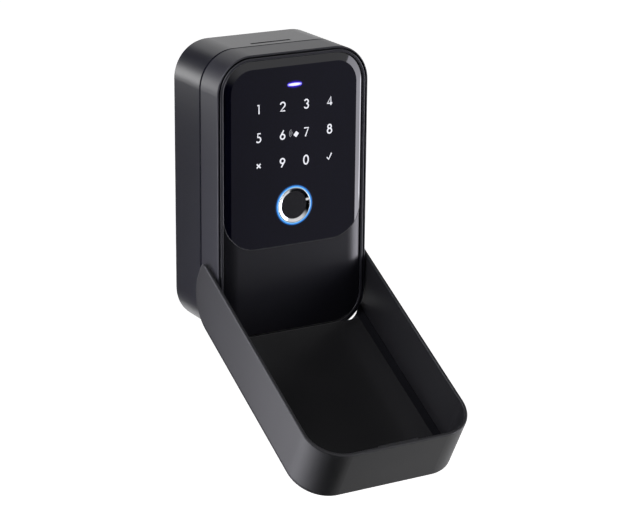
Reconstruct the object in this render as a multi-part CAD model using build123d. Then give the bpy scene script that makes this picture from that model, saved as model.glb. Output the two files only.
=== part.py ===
from build123d import *
import math
import os

# Fingerprint lock box for keys, in millimetres
# X runs to the box's right, the front looks along -Y and +Z is up
# The origin is the middle of the back face, at the centre of the four wall holes
# "depth" is the distance in front of the wall, "height" is measured from the box's bottom

# Outside of the box, read from the photograph
BODY_WIDTH = 95.0
BODY_HEIGHT = 165.0
BODY_CORNER = 21.0
HOUSING_DEPTH = 32.0
SEAM = 0.6
DOOR_THICK = 20.7
HOUSING_EDGE_ROUND = 1.0
FRONT_EDGE_ROUND = 0.54
SEAM_EDGE_ROUND = 0.25

# Wall thicknesses
HOUSING_WALL = 3.0
DOOR_WALL = 2.4
DECK = 2.0
BACK_PLATE = 2.4
PLATE_SUNK = 0.2
LEDGE = 2.0
PLATE_BOSS_RADIUS = 3.4

# Clearances
RUN = 0.05
FIT = 0.1
LOOSE = 0.4

# Front bezel, touch panel and lower panel
LIP = 0.7
BEZEL_GAP = 1.0
BEZEL_WIDTH = 1.6
BEZEL_PROUD = 0.3
BEZEL_OUTER_ROUND = 0.5
BEZEL_INNER_ROUND = 0.3
PANEL_GAP = 0.3
PANEL_PROUD = 0.8
PANEL_THICK = 3.3
PANEL_BAND = 4.3
PANEL_BAND_DROP = 1.3
LOWER_EDGE_ROUND = 1.2
LOWER_CROWN_IN = 9.0
LOWER_CROWN_RADIUS = 28.0
GLASS_BOTTOM = 54.5
GLASS_CORNER = 20.0
GLASS_SEAM = 0.25
GLASS_RISE = 20.0

# Lit bar over the keys
BAR_DOWN = 18.6
BAR_LENGTH = 9.0
BAR_WIDE = 2.0

# Fingerprint reader
READER_OVER_GLASS = 22.8
SENSOR_RADIUS = 8.0
CHROME_RADIUS = 10.2
RING_RADIUS = 11.7
READER_BARREL = 9.0
READER_FLANGE = 1.0
CHROME_PROUD = 0.6
RING_PROUD = 0.25
SENSOR_SUNK = 0.1

# Wall screws
WALL_HOLE_X = 60.0
WALL_HOLE_Z = 120.0
WALL_HOLE_RADIUS = 2.5
WALL_HEAD_RADIUS = 5.0
WALL_HEAD_DEPTH = 1.0

# Seal in the parting seam
SEAL_WIDTH = 1.2
SEAL_GROOVE = 1.0

# Door hinge under the bottom edge
HINGE_DROP = 2.6
KNUCKLE_RADIUS = 3.0
KNUCKLE_CLEAR = 0.2
KNUCKLE_HALF = 10.0
KNUCKLE_END = 24.0
KNUCKLE_GAP = 0.2
KNUCKLE_WEB_TOP = 0.8
HINGE_PIN_RADIUS = 1.5

# Weather cover: a tray that hangs from two stubs in the door's sides
COVER_SIDE_GAP = 1.15
COVER_TOP_GAP = 1.2
COVER_CORNER = 21.0
COVER_OVERLAP = 8.0
COVER_AHEAD = 2.9
COVER_SIDE_WALL = 2.0
COVER_FRONT_WALL = 1.6
COVER_LOW = 17.2
COVER_LOW_ARC = 22.0
COVER_TIP_ROUND = 4.0
COVER_EDGE_ROUND = 0.8
COVER_RIM_ROUND = 0.4
COVER_PIVOT_IN_DOOR = 8.22
COVER_PIVOT_UP = 27.76
COVER_OPEN_ANGLE = 118.75
COVER_REST_GAP = 0.25
TAB_WIDE = 10.65
TAB_TALL = 14.5
TAB_BEND_IN = 3.65
TAB_BEND_DOWN = 5.7
STUB_RADIUS = 2.5
BUSH_RADIUS = 3.5
BUSH_FLANGE_RADIUS = 5.5
BUSH_INSIDE = 0.6

# Catch of the cover: a nib that drops into a slot on the box's top
SLOT_LENGTH = 25.0
SLOT_FROM_RIM = 1.6
SLOT_WIDE = 1.0
SLOT_DEEP = 1.5
SLOT_RAMP = 2.1
SLOT_RAMP_DROP = 0.25
NIB_SIDE = 0.1
NIB_REACH = 0.2

# Liner glued inside the cover
LINER_SIDE = 5.45
LINER_TOP_GAP = 3.7
LINER_THICK = 0.5
LINER_CORNER = 15.0

# Latch, driven up by a small gear motor and a lead screw
LATCH_HALF = 6.0
LATCH_TRAVEL = 5.0
LATCH_REACH = 8.0
LATCH_TIP_THICK = 2.8
LATCH_BAR_DOWN = 23.0
LATCH_BAR_TALL = 4.0
LATCH_TIP_TALL = 3.0
LATCH_ARM_THICK = 2.6
NUT_OVER_MOTOR = 4.0
NUT_TALL = 10.0
MOTOR_DOWN = 79.0
MOTOR_TALL = 15.0
GEARBOX_TALL = 9.0
MOTOR_THICK = 10.0
SCREW_RADIUS = 1.5
SCREW_ABOVE = 22.0
SCREW_INSIDE = 3.0
RAIL_THICK = 2.0
RAIL_TALL_DEPTH = 5.0
CLAMP_THICK = 0.6
CLAMP_HEAD = 0.5
CLAMP_POST_OUT = 5.0
CLAMP_POST_RADIUS = 2.3
CLAMP_HALF_TALL = 3.0
CLAMP_SCREW_LONG = 5.0

# Strike that the latch hooks behind
STRIKE_HALF = 10.0
STRIKE_THICK = 1.5
STRIKE_REACH = 14.5
STRIKE_ABOVE_TIP = 2.5
STRIKE_BEHIND = 0.5

# Key hooks
HOOK_STRIP_HALF = 22.0
HOOK_STRIP_DOWN = 33.0
HOOK_STRIP_TALL = 12.0
HOOK_STRIP_THICK = 1.5
HOOK_PITCH = 15.0
HOOK_THICK = 2.4
HOOK_REACH = 9.5
HOOK_UP = 5.6
HOOK_SCREW_DOWN = 3.5

# Cells, battery tray and lid
CELL_RADIUS = 5.25
CELL_LENGTH = 44.5
CELL_NUB_RADIUS = 1.9
CELL_NUB_TALL = 1.2
CELL_PITCH = 10.9
CELL_COUNT = 4
CONTACT_THICK = 0.4
CONTACT_HALF = 3.6
SPRING_TALL = 2.1
SPRING_RADIUS = 2.8
SPRING_TOP_RADIUS = 1.6
TRAY_LOW = 9.0
TRAY_WALL = 1.2
TRAY_SIDE = 0.3
LID_THICK = 1.2
LID_LAP = 2.2
LID_RIB = 1.6
LID_RIB_HALF = 0.6
LID_RIB_END = 4.0
LID_TONGUE_HALF = 6.0
LID_TONGUE = 6.0
LID_SCREW_UP = 2.6
LID_SCREW_IN = 0.6
CELL_GAP = 0.5

# Circuit board
BOARD_SIDE = 15.3
BOARD_OVER_GLASS = 9.5
BOARD_DOWN = 11.0
BOARD_THICK = 1.6
BOARD_POST = 0.8
BOARD_POST_RADIUS = 2.8
BOARD_HOLE_SIDE = 3.2
BOARD_HOLE_END = 5.0
BOARD_SCREW_IN = 1.0
CHIP_SIDE = 8.0
CHIP_TALL = 1.2
CHIP_DOWN = 46.0
RADIO_WIDE = 12.0
RADIO_LONG = 16.0
RADIO_TALL = 1.6
RADIO_DOWN = 26.0
PLUG_WIDE = 10.0
PLUG_LONG = 5.0
PLUG_TALL = 4.0
PLUG_OVER_EDGE = 8.5
BUZZER_RADIUS = 4.5
BUZZER_TALL = 3.5
BUZZER_DOWN = 22.0
CHIP_X = 18.0
RADIO_X = -21.0
PLUG_X = -19.0
BUZZER_X = 21.0

# Charging port in the door's underside
PORT_X = 28.0
PORT_IN_DOOR = 10.4
PORT_WIDE = 9.0
PORT_THICK = 3.2
PORT_LONG = 8.0
PORT_SHELL = 0.3
PORT_TONGUE = 0.7

# Screws
SCREW_M3 = 1.5
HEAD_M3 = 2.7
HEAD_M3_TALL = 1.4
SCREW_M2 = 1.0
HEAD_M2 = 1.9
HEAD_M2_TALL = 1.1
HEX_RECESS = 0.6
HEX_SHARE = 0.45
PLATE_SCREW_SIDE = 11.5
PLATE_SCREW_END = 14.0
PLATE_SCREW_MIDDLE_SIDE = 7.5
PLATE_SCREW_LONG = 6.0
STRIKE_SCREW_LONG = 2.4
HOOK_SCREW_LONG = 2.2

# Depths and heights that follow from the sizes above
DOOR_BACK = HOUSING_DEPTH + SEAM
DOOR_DEPTH = DOOR_BACK + DOOR_THICK
PLATE_BACK = DOOR_BACK + PLATE_SUNK
PLATE_FRONT = PLATE_BACK + BACK_PLATE
DECK_FRONT = DOOR_DEPTH + PANEL_PROUD - PANEL_THICK
DECK_BACK = DECK_FRONT - DECK
PANEL_FRONT = DECK_FRONT + PANEL_THICK
HALF_WIDTH = BODY_WIDTH / 2
BEZEL_OUT = LIP + BEZEL_GAP
PANEL_IN = BEZEL_OUT + BEZEL_WIDTH + PANEL_GAP
PANEL_WIDTH = BODY_WIDTH - 2 * PANEL_IN
PANEL_HEIGHT = BODY_HEIGHT - 2 * PANEL_IN
PANEL_CORNER = BODY_CORNER - PANEL_IN
BAR_HEIGHT_UP = BODY_HEIGHT - BAR_DOWN
READER_UP = GLASS_BOTTOM + READER_OVER_GLASS
MOTOR_AXIS = PLATE_FRONT + MOTOR_THICK / 2
BOARD_FRONT = DECK_BACK - BOARD_POST
BOARD_BACK = BOARD_FRONT - BOARD_THICK
BOARD_HALF = HALF_WIDTH - BOARD_SIDE
BOARD_LOW = GLASS_BOTTOM + BOARD_OVER_GLASS
BOARD_TOP = BODY_HEIGHT - BOARD_DOWN
LATCH_TIP_DEPTH = HOUSING_DEPTH - LATCH_REACH
LATCH_BAR_LOW = BODY_HEIGHT - LATCH_BAR_DOWN
MOTOR_LOW = BODY_HEIGHT - MOTOR_DOWN
MOTOR_TOP = MOTOR_LOW + MOTOR_TALL + GEARBOX_TALL
NUT_LOW = MOTOR_TOP + NUT_OVER_MOTOR
CLAMP_POST_X = LATCH_HALF + CLAMP_POST_OUT
HOOK_STRIP_LOW = BODY_HEIGHT - HOOK_STRIP_DOWN
LATCH_TIP_TOP = LATCH_BAR_LOW + LATCH_BAR_TALL + LATCH_TIP_TALL
STRIKE_LOW = LATCH_TIP_TOP + STRIKE_ABOVE_TIP
HOUSING_TOP_INSIDE = BODY_HEIGHT - HOUSING_WALL
CELL_DEPTH_AT = PLATE_FRONT + CELL_RADIUS + CELL_GAP
TRAY_FLOOR = CELL_DEPTH_AT + CELL_RADIUS
TRAY_HALF = CELL_COUNT * CELL_PITCH / 2 + TRAY_SIDE
TRAY_TOP = TRAY_LOW + CELL_LENGTH + 2 * CONTACT_THICK + SPRING_TALL

# Screws of the door's back plate and of the board, as pairs of x and height
PLATE_SCREW_X = HALF_WIDTH - PLATE_SCREW_SIDE
PLATE_SCREW_MIDDLE_X = HALF_WIDTH - PLATE_SCREW_MIDDLE_SIDE
PLATE_SCREWS = [
    (-PLATE_SCREW_X, PLATE_SCREW_END),
    (PLATE_SCREW_X, PLATE_SCREW_END),
    (-PLATE_SCREW_MIDDLE_X, BODY_HEIGHT / 2),
    (PLATE_SCREW_MIDDLE_X, BODY_HEIGHT / 2),
    (-PLATE_SCREW_X, BODY_HEIGHT - PLATE_SCREW_END),
    (PLATE_SCREW_X, BODY_HEIGHT - PLATE_SCREW_END),
]
BOARD_HOLE_X = BOARD_HALF - BOARD_HOLE_SIDE
BOARD_SCREWS = [
    (x, height)
    for x in (-BOARD_HOLE_X, BOARD_HOLE_X)
    for height in (BOARD_LOW + BOARD_HOLE_END, BOARD_TOP - BOARD_HOLE_END)
]

# The cover round the body, with its front edge resting on the bezel when it is open
COVER_WIDTH = BODY_WIDTH + 2 * (COVER_SIDE_GAP + COVER_SIDE_WALL)
COVER_TOP = BODY_HEIGHT + COVER_TOP_GAP + COVER_SIDE_WALL
COVER_INSIDE = COVER_WIDTH / 2 - COVER_SIDE_WALL
COVER_RIM_DEPTH = HOUSING_DEPTH - COVER_OVERLAP
COVER_FRONT_DEPTH = PANEL_FRONT + COVER_AHEAD
COVER_PIVOT_DEPTH = DOOR_BACK + COVER_PIVOT_IN_DOOR
OPEN_TURN = math.radians(COVER_OPEN_ANGLE)
REST_DEPTH = DOOR_DEPTH + BEZEL_PROUD + COVER_REST_GAP - COVER_PIVOT_DEPTH
FRONT_FROM_PIVOT = COVER_FRONT_DEPTH - COVER_PIVOT_DEPTH
FRONT_LOW_FROM_PIVOT = (REST_DEPTH - FRONT_FROM_PIVOT * math.cos(OPEN_TURN)) / math.sin(OPEN_TURN)
COVER_FRONT_LOW = COVER_PIVOT_UP + FRONT_LOW_FROM_PIVOT
LINER_WIDTH = 2 * (COVER_INSIDE - LINER_SIDE)
LINER_TOP = COVER_TOP - COVER_SIDE_WALL - LINER_TOP_GAP
SLOT_DEPTH_AT = COVER_RIM_DEPTH + SLOT_FROM_RIM
PORT_DEPTH_AT = DOOR_BACK + PORT_IN_DOOR


# Basic solids, given by depth from the wall and height from the bottom
def z_of(height):
    return height - BODY_HEIGHT / 2


def front_plane(depth):
    return Plane(origin=(0, -depth, 0), x_dir=(1, 0, 0), z_dir=(0, -1, 0))


def slab(inset, depth_from, depth_to):
    outline = RectangleRounded(BODY_WIDTH - 2 * inset, BODY_HEIGHT - 2 * inset, BODY_CORNER - inset)
    return extrude(front_plane(depth_from) * outline, amount=depth_to - depth_from)


def block(x_from, x_to, depth_from, depth_to, low, high):
    centre = ((x_from + x_to) / 2, -(depth_from + depth_to) / 2, z_of((low + high) / 2))
    return Pos(*centre) * Box(x_to - x_from, depth_to - depth_from, high - low)


def disc(radius, x, height, depth_from, depth_to):
    circle = Pos(x, z_of(height)) * Circle(radius)
    return extrude(front_plane(depth_from) * circle, amount=depth_to - depth_from)


def upright(radius, x, depth, low, high):
    return Pos(x, -depth, z_of((low + high) / 2)) * Cylinder(radius, high - low)


def crossbar(radius, depth, height, x_from, x_to):
    bar = Rot(0, 90, 0) * Cylinder(radius, x_to - x_from)
    return Pos((x_from + x_to) / 2, -depth, z_of(height)) * bar


def save(name, shape):
    export_step(shape, f"parts/{name}.step")


# A screw along the depth, with its head towards the wall side
def depth_screw(x, height, head_back, shank, head_radius, head_tall, shank_radius):
    head = disc(head_radius, x, height, head_back, head_back + head_tall)
    head -= disc(head_radius * HEX_SHARE, x, height, head_back - 1, head_back + HEX_RECESS)
    return head + disc(shank_radius, x, height, head_back + head_tall, head_back + head_tall + shank)


# Rear housing that is screwed to the wall
def hinge_web(x_from, x_to, depth_from, depth_to, bore):
    barrel = crossbar(KNUCKLE_RADIUS, HOUSING_DEPTH, -HINGE_DROP, x_from, x_to)
    web = block(x_from, x_to, depth_from, depth_to, -HINGE_DROP, KNUCKLE_WEB_TOP)
    hole = crossbar(bore, HOUSING_DEPTH, -HINGE_DROP, x_from - 1, x_to + 1)
    return barrel + web - hole


def knuckle_space(x_from, x_to):
    return crossbar(KNUCKLE_RADIUS + KNUCKLE_CLEAR, HOUSING_DEPTH, -HINGE_DROP, x_from, x_to)


def catch_slot():
    slot_back = SLOT_DEPTH_AT - SLOT_WIDE / 2
    slot_front = SLOT_DEPTH_AT + SLOT_WIDE / 2
    half = SLOT_LENGTH / 2
    slot = block(-half, half, slot_back, slot_front, BODY_HEIGHT - SLOT_DEEP, BODY_HEIGHT + 1)
    top = z_of(BODY_HEIGHT)
    ramp_line = Polyline(
        (0, -slot_front, top - SLOT_RAMP_DROP),
        (0, -slot_front, top + 0.5),
        (0, -slot_front - SLOT_RAMP, top + 0.5),
        (0, -slot_front - SLOT_RAMP, top),
        close=True,
    )
    ramp = extrude(make_face(ramp_line), amount=half, both=True)
    return slot + ramp


def strike_leg_back():
    return LATCH_TIP_DEPTH + LATCH_TIP_THICK + STRIKE_BEHIND


def strike_screw_spots():
    depth = strike_leg_back() - STRIKE_REACH / 2
    return [(-STRIKE_HALF * 0.55, depth), (STRIKE_HALF * 0.55, depth)]


def hook_screw_spots():
    height = HOOK_STRIP_LOW + HOOK_STRIP_TALL - HOOK_SCREW_DOWN
    return [(-HOOK_PITCH / 2, height), (HOOK_PITCH / 2, height)]


def rear_housing():
    body = slab(0, 0, HOUSING_DEPTH)
    body = fillet(body.edges().group_by(Axis.Y)[-1], HOUSING_EDGE_ROUND)
    body = fillet(body.edges().group_by(Axis.Y)[0], SEAM_EDGE_ROUND)
    body -= slab(HOUSING_WALL, HOUSING_WALL, HOUSING_DEPTH + 1)
    groove_side = (HOUSING_WALL - SEAL_WIDTH) / 2
    groove = slab(groove_side, HOUSING_DEPTH - SEAL_GROOVE, HOUSING_DEPTH + 1)
    groove -= slab(groove_side + SEAL_WIDTH, HOUSING_DEPTH - SEAL_GROOVE - 1, HOUSING_DEPTH + 2)
    body -= groove
    for side in (-1, 1):
        ends = sorted((side * (KNUCKLE_HALF + KNUCKLE_GAP), side * KNUCKLE_END))
        body += hinge_web(*ends, HOUSING_DEPTH - KNUCKLE_RADIUS, HOUSING_DEPTH, HINGE_PIN_RADIUS)
    clear = KNUCKLE_HALF + KNUCKLE_GAP
    body -= knuckle_space(-clear, clear)
    body -= catch_slot()
    for x in (-WALL_HOLE_X / 2, WALL_HOLE_X / 2):
        for z in (-WALL_HOLE_Z / 2, WALL_HOLE_Z / 2):
            height = BODY_HEIGHT / 2 + z
            body -= disc(WALL_HOLE_RADIUS, x, height, -1, HOUSING_WALL + 1)
            body -= disc(WALL_HEAD_RADIUS, x, height, HOUSING_WALL - WALL_HEAD_DEPTH, HOUSING_WALL + 1)
    for x, depth in strike_screw_spots():
        body -= upright(SCREW_M3, x, depth, HOUSING_TOP_INSIDE - 1, HOUSING_TOP_INSIDE + STRIKE_SCREW_LONG)
    for x, height in hook_screw_spots():
        body -= disc(SCREW_M2, x, height, HOUSING_WALL - HOOK_SCREW_LONG, HOUSING_WALL + 1)
    return body


def door_seal():
    side = (HOUSING_WALL - SEAL_WIDTH) / 2
    ring = slab(side, HOUSING_DEPTH - SEAL_GROOVE, DOOR_BACK - RUN)
    return ring - slab(side + SEAL_WIDTH, HOUSING_DEPTH - SEAL_GROOVE - 1, DOOR_BACK + 1)


def hinge_pin():
    return crossbar(HINGE_PIN_RADIUS, HOUSING_DEPTH, -HINGE_DROP, -KNUCKLE_END, KNUCKLE_END)


def strike_plate():
    leg_back = strike_leg_back()
    leg_front = leg_back + STRIKE_THICK
    leg = block(-STRIKE_HALF, STRIKE_HALF, leg_back, leg_front, STRIKE_LOW, HOUSING_TOP_INSIDE)
    low = HOUSING_TOP_INSIDE - STRIKE_THICK
    flange = block(-STRIKE_HALF, STRIKE_HALF, leg_front - STRIKE_REACH, leg_front, low, HOUSING_TOP_INSIDE)
    plate = leg + flange
    for x, depth in strike_screw_spots():
        plate -= upright(SCREW_M3, x, depth, low - 1, HOUSING_TOP_INSIDE + 1)
    return plate


def strike_screws():
    low = HOUSING_TOP_INSIDE - STRIKE_THICK
    screws = []
    for x, depth in strike_screw_spots():
        head = upright(HEAD_M3, x, depth, low - HEAD_M3_TALL, low)
        head_low = low - HEAD_M3_TALL
        head -= upright(HEAD_M3 * HEX_SHARE, x, depth, head_low - 1, head_low + HEX_RECESS)
        screws.append(head + upright(SCREW_M3, x, depth, low, HOUSING_TOP_INSIDE + STRIKE_SCREW_LONG))
    return Compound(children=screws)


def hook_strip():
    front = HOUSING_WALL + HOOK_STRIP_THICK
    high = HOOK_STRIP_LOW + HOOK_STRIP_TALL
    strip = block(-HOOK_STRIP_HALF, HOOK_STRIP_HALF, HOUSING_WALL, front, HOOK_STRIP_LOW, high)
    for step in (-1, 0, 1):
        x = step * HOOK_PITCH
        low = HOOK_STRIP_LOW + 1.0
        reach = front + HOOK_REACH
        strip += block(x - HOOK_THICK / 2, x + HOOK_THICK / 2, front, reach, low, low + HOOK_THICK)
        tip_low = low + HOOK_THICK
        tip_back = reach - HOOK_THICK
        strip += block(x - HOOK_THICK / 2, x + HOOK_THICK / 2, tip_back, reach, tip_low, tip_low + HOOK_UP)
    for x, height in hook_screw_spots():
        strip -= disc(SCREW_M2, x, height, HOUSING_WALL - 1, front + 1)
    return strip


def hook_screws():
    front = HOUSING_WALL + HOOK_STRIP_THICK
    screws = []
    for x, height in hook_screw_spots():
        head = disc(HEAD_M2, x, height, front, front + HEAD_M2_TALL)
        head -= disc(HEAD_M2 * HEX_SHARE, x, height, front + HEAD_M2_TALL - HEX_RECESS, front + 2)
        screws.append(head + disc(SCREW_M2, x, height, HOUSING_WALL - HOOK_SCREW_LONG, front))
    return Compound(children=screws)


# Door: frame, bezel and the two front panels
def door_frame():
    body = slab(0, DOOR_BACK, DOOR_DEPTH)
    body = fillet(body.edges().group_by(Axis.Y)[0], FRONT_EDGE_ROUND)
    body = fillet(body.edges().group_by(Axis.Y)[-1], SEAM_EDGE_ROUND)
    body -= slab(DOOR_WALL, DOOR_BACK - 1, PLATE_FRONT)
    inside = slab(DOOR_WALL + LEDGE, PLATE_FRONT - 1, PLATE_FRONT + LEDGE)
    inside += slab(DOOR_WALL, PLATE_FRONT + LEDGE, DECK_BACK)
    for x, height in PLATE_SCREWS:
        inside -= disc(PLATE_BOSS_RADIUS, x, height, PLATE_FRONT, DECK_BACK + 1)
    body -= inside
    body -= slab(LIP, DECK_FRONT, DOOR_DEPTH + 1)
    for x, height in BOARD_SCREWS:
        body += disc(BOARD_POST_RADIUS, x, height, BOARD_FRONT, DECK_BACK)
        body -= disc(SCREW_M2, x, height, BOARD_FRONT - 1, DECK_BACK + BOARD_SCREW_IN)
    for x, height in PLATE_SCREWS:
        body -= disc(SCREW_M3, x, height, PLATE_FRONT - 1, PLATE_FRONT + PLATE_SCREW_LONG)
    body -= disc(READER_BARREL, 0, READER_UP, DECK_BACK - 1, DECK_FRONT + 1)
    for side in (-1, 1):
        ends = sorted((side * (HALF_WIDTH - DOOR_WALL - 1), side * (HALF_WIDTH + 1)))
        body -= crossbar(BUSH_RADIUS, COVER_PIVOT_DEPTH, COVER_PIVOT_UP, *ends)
        ends = sorted((side * KNUCKLE_HALF, side * (KNUCKLE_END + KNUCKLE_GAP)))
        body -= knuckle_space(*ends)
    web_front = HOUSING_DEPTH + KNUCKLE_RADIUS
    body += hinge_web(-KNUCKLE_HALF, KNUCKLE_HALF, DOOR_BACK, web_front, HINGE_PIN_RADIUS + RUN)
    port = port_block(PORT_WIDE, PORT_THICK, -1, PORT_LONG)
    return body - port


def front_bezel():
    ring = slab(BEZEL_OUT, DECK_FRONT, DOOR_DEPTH + BEZEL_PROUD)
    ring = fillet(ring.edges().group_by(Axis.Y)[0], BEZEL_OUTER_ROUND)
    hole = slab(BEZEL_OUT + BEZEL_WIDTH, DECK_FRONT - 1, DOOR_DEPTH + 1)
    ring -= hole
    inner_edge = ring.edges().group_by(Axis.Y)[0]
    return fillet(inner_edge, BEZEL_INNER_ROUND)


def panel_outline(inset):
    width = PANEL_WIDTH - 2 * inset
    height = PANEL_HEIGHT - 2 * inset
    return RectangleRounded(width, height, PANEL_CORNER - inset)


def glass_outline(extra):
    top = PANEL_HEIGHT / 2
    low = z_of(GLASS_BOTTOM)
    wide = PANEL_WIDTH + 2 * extra
    reach = top + GLASS_RISE
    return Pos(0, low + reach) * RectangleRounded(wide, 2 * (reach + extra), GLASS_CORNER + extra)


def flat_panel():
    return extrude(front_plane(DECK_FRONT) * panel_outline(0), amount=PANEL_THICK)


def banded_panel():
    straight = PANEL_THICK - PANEL_BAND_DROP
    base = extrude(front_plane(DECK_FRONT) * panel_outline(0), amount=straight)
    low_face = front_plane(DECK_FRONT + straight) * panel_outline(0)
    high_face = front_plane(DECK_FRONT + PANEL_THICK) * panel_outline(PANEL_BAND)
    band = loft([low_face.faces()[0], high_face.faces()[0]])
    return base + band


def touch_panel():
    glass = banded_panel()
    glass &= extrude(front_plane(DECK_FRONT - 1) * glass_outline(0), amount=PANEL_THICK + 2)
    glass -= disc(RING_RADIUS + FIT, 0, READER_UP, DECK_FRONT - 1, PANEL_FRONT + 1)
    window = Pos(0, z_of(BAR_HEIGHT_UP)) * SlotOverall(BAR_LENGTH + 2 * RUN, BAR_WIDE + 2 * RUN)
    glass -= extrude(front_plane(DECK_FRONT - 1) * window, amount=PANEL_THICK + 2)
    return glass


def crowned_bar():
    half = PANEL_WIDTH / 2 - LOWER_CROWN_IN + LOWER_CROWN_RADIUS
    outline = Pos(0, half - PANEL_FRONT) * RectangleRounded(2 * half, 2 * half, LOWER_CROWN_RADIUS)
    return extrude(Plane.XY * outline, amount=BODY_HEIGHT, both=True)


def lower_panel():
    panel = flat_panel()
    panel = fillet(panel.edges().group_by(Axis.Y)[0], LOWER_EDGE_ROUND)
    panel &= crowned_bar()
    return panel - extrude(front_plane(DECK_FRONT - 1) * glass_outline(GLASS_SEAM), amount=PANEL_THICK + 2)


def led_bar():
    bar = Pos(0, z_of(BAR_HEIGHT_UP)) * SlotOverall(BAR_LENGTH, BAR_WIDE)
    return extrude(front_plane(DECK_FRONT) * bar, amount=PANEL_THICK)


# Fingerprint reader
def reader_module():
    barrel = disc(READER_BARREL, 0, READER_UP, BOARD_FRONT, DECK_FRONT)
    return barrel + disc(RING_RADIUS, 0, READER_UP, DECK_FRONT, DECK_FRONT + READER_FLANGE)


def led_ring():
    back = DECK_FRONT + READER_FLANGE
    front = PANEL_FRONT + RING_PROUD
    ring = disc(RING_RADIUS, 0, READER_UP, back, front)
    ring = fillet(ring.edges().group_by(Axis.Y)[0], 0.2)
    return ring - disc(CHROME_RADIUS, 0, READER_UP, back - 1, front + 1)


def chrome_ring():
    back = DECK_FRONT + READER_FLANGE
    front = PANEL_FRONT + CHROME_PROUD
    ring = disc(CHROME_RADIUS, 0, READER_UP, back, front)
    ring = fillet(ring.edges().group_by(Axis.Y)[0], 0.25)
    ring -= disc(SENSOR_RADIUS, 0, READER_UP, back - 1, front + 1)
    drop = CHROME_PROUD + SENSOR_SUNK
    slope = Pos(0, -(PANEL_FRONT - SENSOR_SUNK), z_of(READER_UP)) * Rot(90, 0, 0) * Pos(0, 0, drop / 2)
    return ring - slope * Cone(SENSOR_RADIUS, CHROME_RADIUS - 0.5, drop)


def sensor_disc():
    back = DECK_FRONT + READER_FLANGE
    return disc(SENSOR_RADIUS, 0, READER_UP, back, PANEL_FRONT - SENSOR_SUNK)


# Circuit board behind the touch panel
def main_board():
    board = block(-BOARD_HALF, BOARD_HALF, BOARD_BACK, BOARD_FRONT, BOARD_LOW, BOARD_TOP)
    for x, height in BOARD_SCREWS:
        board -= disc(SCREW_M2, x, height, BOARD_BACK - 1, BOARD_FRONT + 1)
    return board


def board_block(x, height, wide, long, tall):
    depth_from = BOARD_BACK - tall
    return block(x - wide / 2, x + wide / 2, depth_from, BOARD_BACK, height - long / 2, height + long / 2)


def board_parts():
    chip = board_block(CHIP_X, BOARD_TOP - CHIP_DOWN, CHIP_SIDE, CHIP_SIDE, CHIP_TALL)
    radio = board_block(RADIO_X, BOARD_TOP - RADIO_DOWN, RADIO_WIDE, RADIO_LONG, RADIO_TALL)
    plug = board_block(PLUG_X, BOARD_LOW + PLUG_OVER_EDGE, PLUG_WIDE, PLUG_LONG, PLUG_TALL)
    buzzer = disc(BUZZER_RADIUS, BUZZER_X, BOARD_TOP - BUZZER_DOWN, BOARD_BACK - BUZZER_TALL, BOARD_BACK)
    return Compound(children=[chip, radio, plug, buzzer])


def board_screws():
    screws = []
    for x, height in BOARD_SCREWS:
        head_back = BOARD_BACK - HEAD_M2_TALL
        shank = BOARD_THICK + BOARD_POST + BOARD_SCREW_IN
        screws.append(depth_screw(x, height, head_back, shank, HEAD_M2, HEAD_M2_TALL, SCREW_M2))
    return Compound(children=screws)


# Back plate of the door, with the rails that guide the latch
def door_back_plate():
    plate = slab(DOOR_WALL + FIT, PLATE_BACK, PLATE_FRONT)
    half = TRAY_HALF
    plate -= block(-half, half, PLATE_BACK - 1, PLATE_FRONT + 1, TRAY_LOW, TRAY_TOP)
    lap = half + LID_LAP
    lap_low = TRAY_LOW - LID_LAP
    lap_high = TRAY_TOP + LID_LAP
    plate -= block(-lap, lap, PLATE_BACK - 1, PLATE_BACK + LID_THICK, lap_low, lap_high)
    tongue = LID_TONGUE_HALF
    tongue_top = lap_high + LID_TONGUE
    plate -= block(-tongue, tongue, PLATE_BACK - 1, PLATE_BACK + LID_THICK, lap_high - 1, tongue_top)
    slot_high = LATCH_BAR_LOW + LATCH_BAR_TALL + LATCH_TRAVEL + LOOSE
    slot_half = LATCH_HALF + LOOSE
    plate -= block(-slot_half, slot_half, PLATE_BACK - 1, PLATE_FRONT + 1, LATCH_BAR_LOW - LOOSE, slot_high)
    rail_in = LATCH_HALF + RUN
    rail_high = LATCH_BAR_LOW - LOOSE - 1
    post_front = PLATE_FRONT + MOTOR_THICK
    for side in (-1, 1):
        ends = sorted((side * rail_in, side * (rail_in + RAIL_THICK)))
        plate += block(*ends, PLATE_FRONT, PLATE_FRONT + RAIL_TALL_DEPTH, MOTOR_LOW, rail_high)
        post_x = side * CLAMP_POST_X
        plate += disc(CLAMP_POST_RADIUS, post_x, clamp_height(), PLATE_FRONT, post_front)
        plate -= disc(SCREW_M2, post_x, clamp_height(), clamp_screw_end(), post_front + 1)
    rest_half = rail_in + RAIL_THICK
    rest_front = PLATE_FRONT + RAIL_TALL_DEPTH
    plate += block(-rest_half, rest_half, PLATE_FRONT, rest_front, MOTOR_LOW - RAIL_THICK, MOTOR_LOW)
    for x, height in PLATE_SCREWS:
        plate -= disc(SCREW_M3, x, height, PLATE_BACK - 1, PLATE_FRONT + 1)
        plate -= disc(HEAD_M3, x, height, PLATE_BACK - 1, PLATE_BACK + HEAD_M3_TALL)
    x, height = lid_screw_spot()
    return plate - disc(SCREW_M2, x, height, PLATE_BACK, PLATE_FRONT + 1)


def clamp_height():
    return MOTOR_LOW + MOTOR_TALL * 0.6


def clamp_screw_end():
    return PLATE_FRONT + MOTOR_THICK - CLAMP_SCREW_LONG


def lid_screw_spot():
    return (0, TRAY_TOP + LID_LAP + LID_SCREW_UP)


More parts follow.
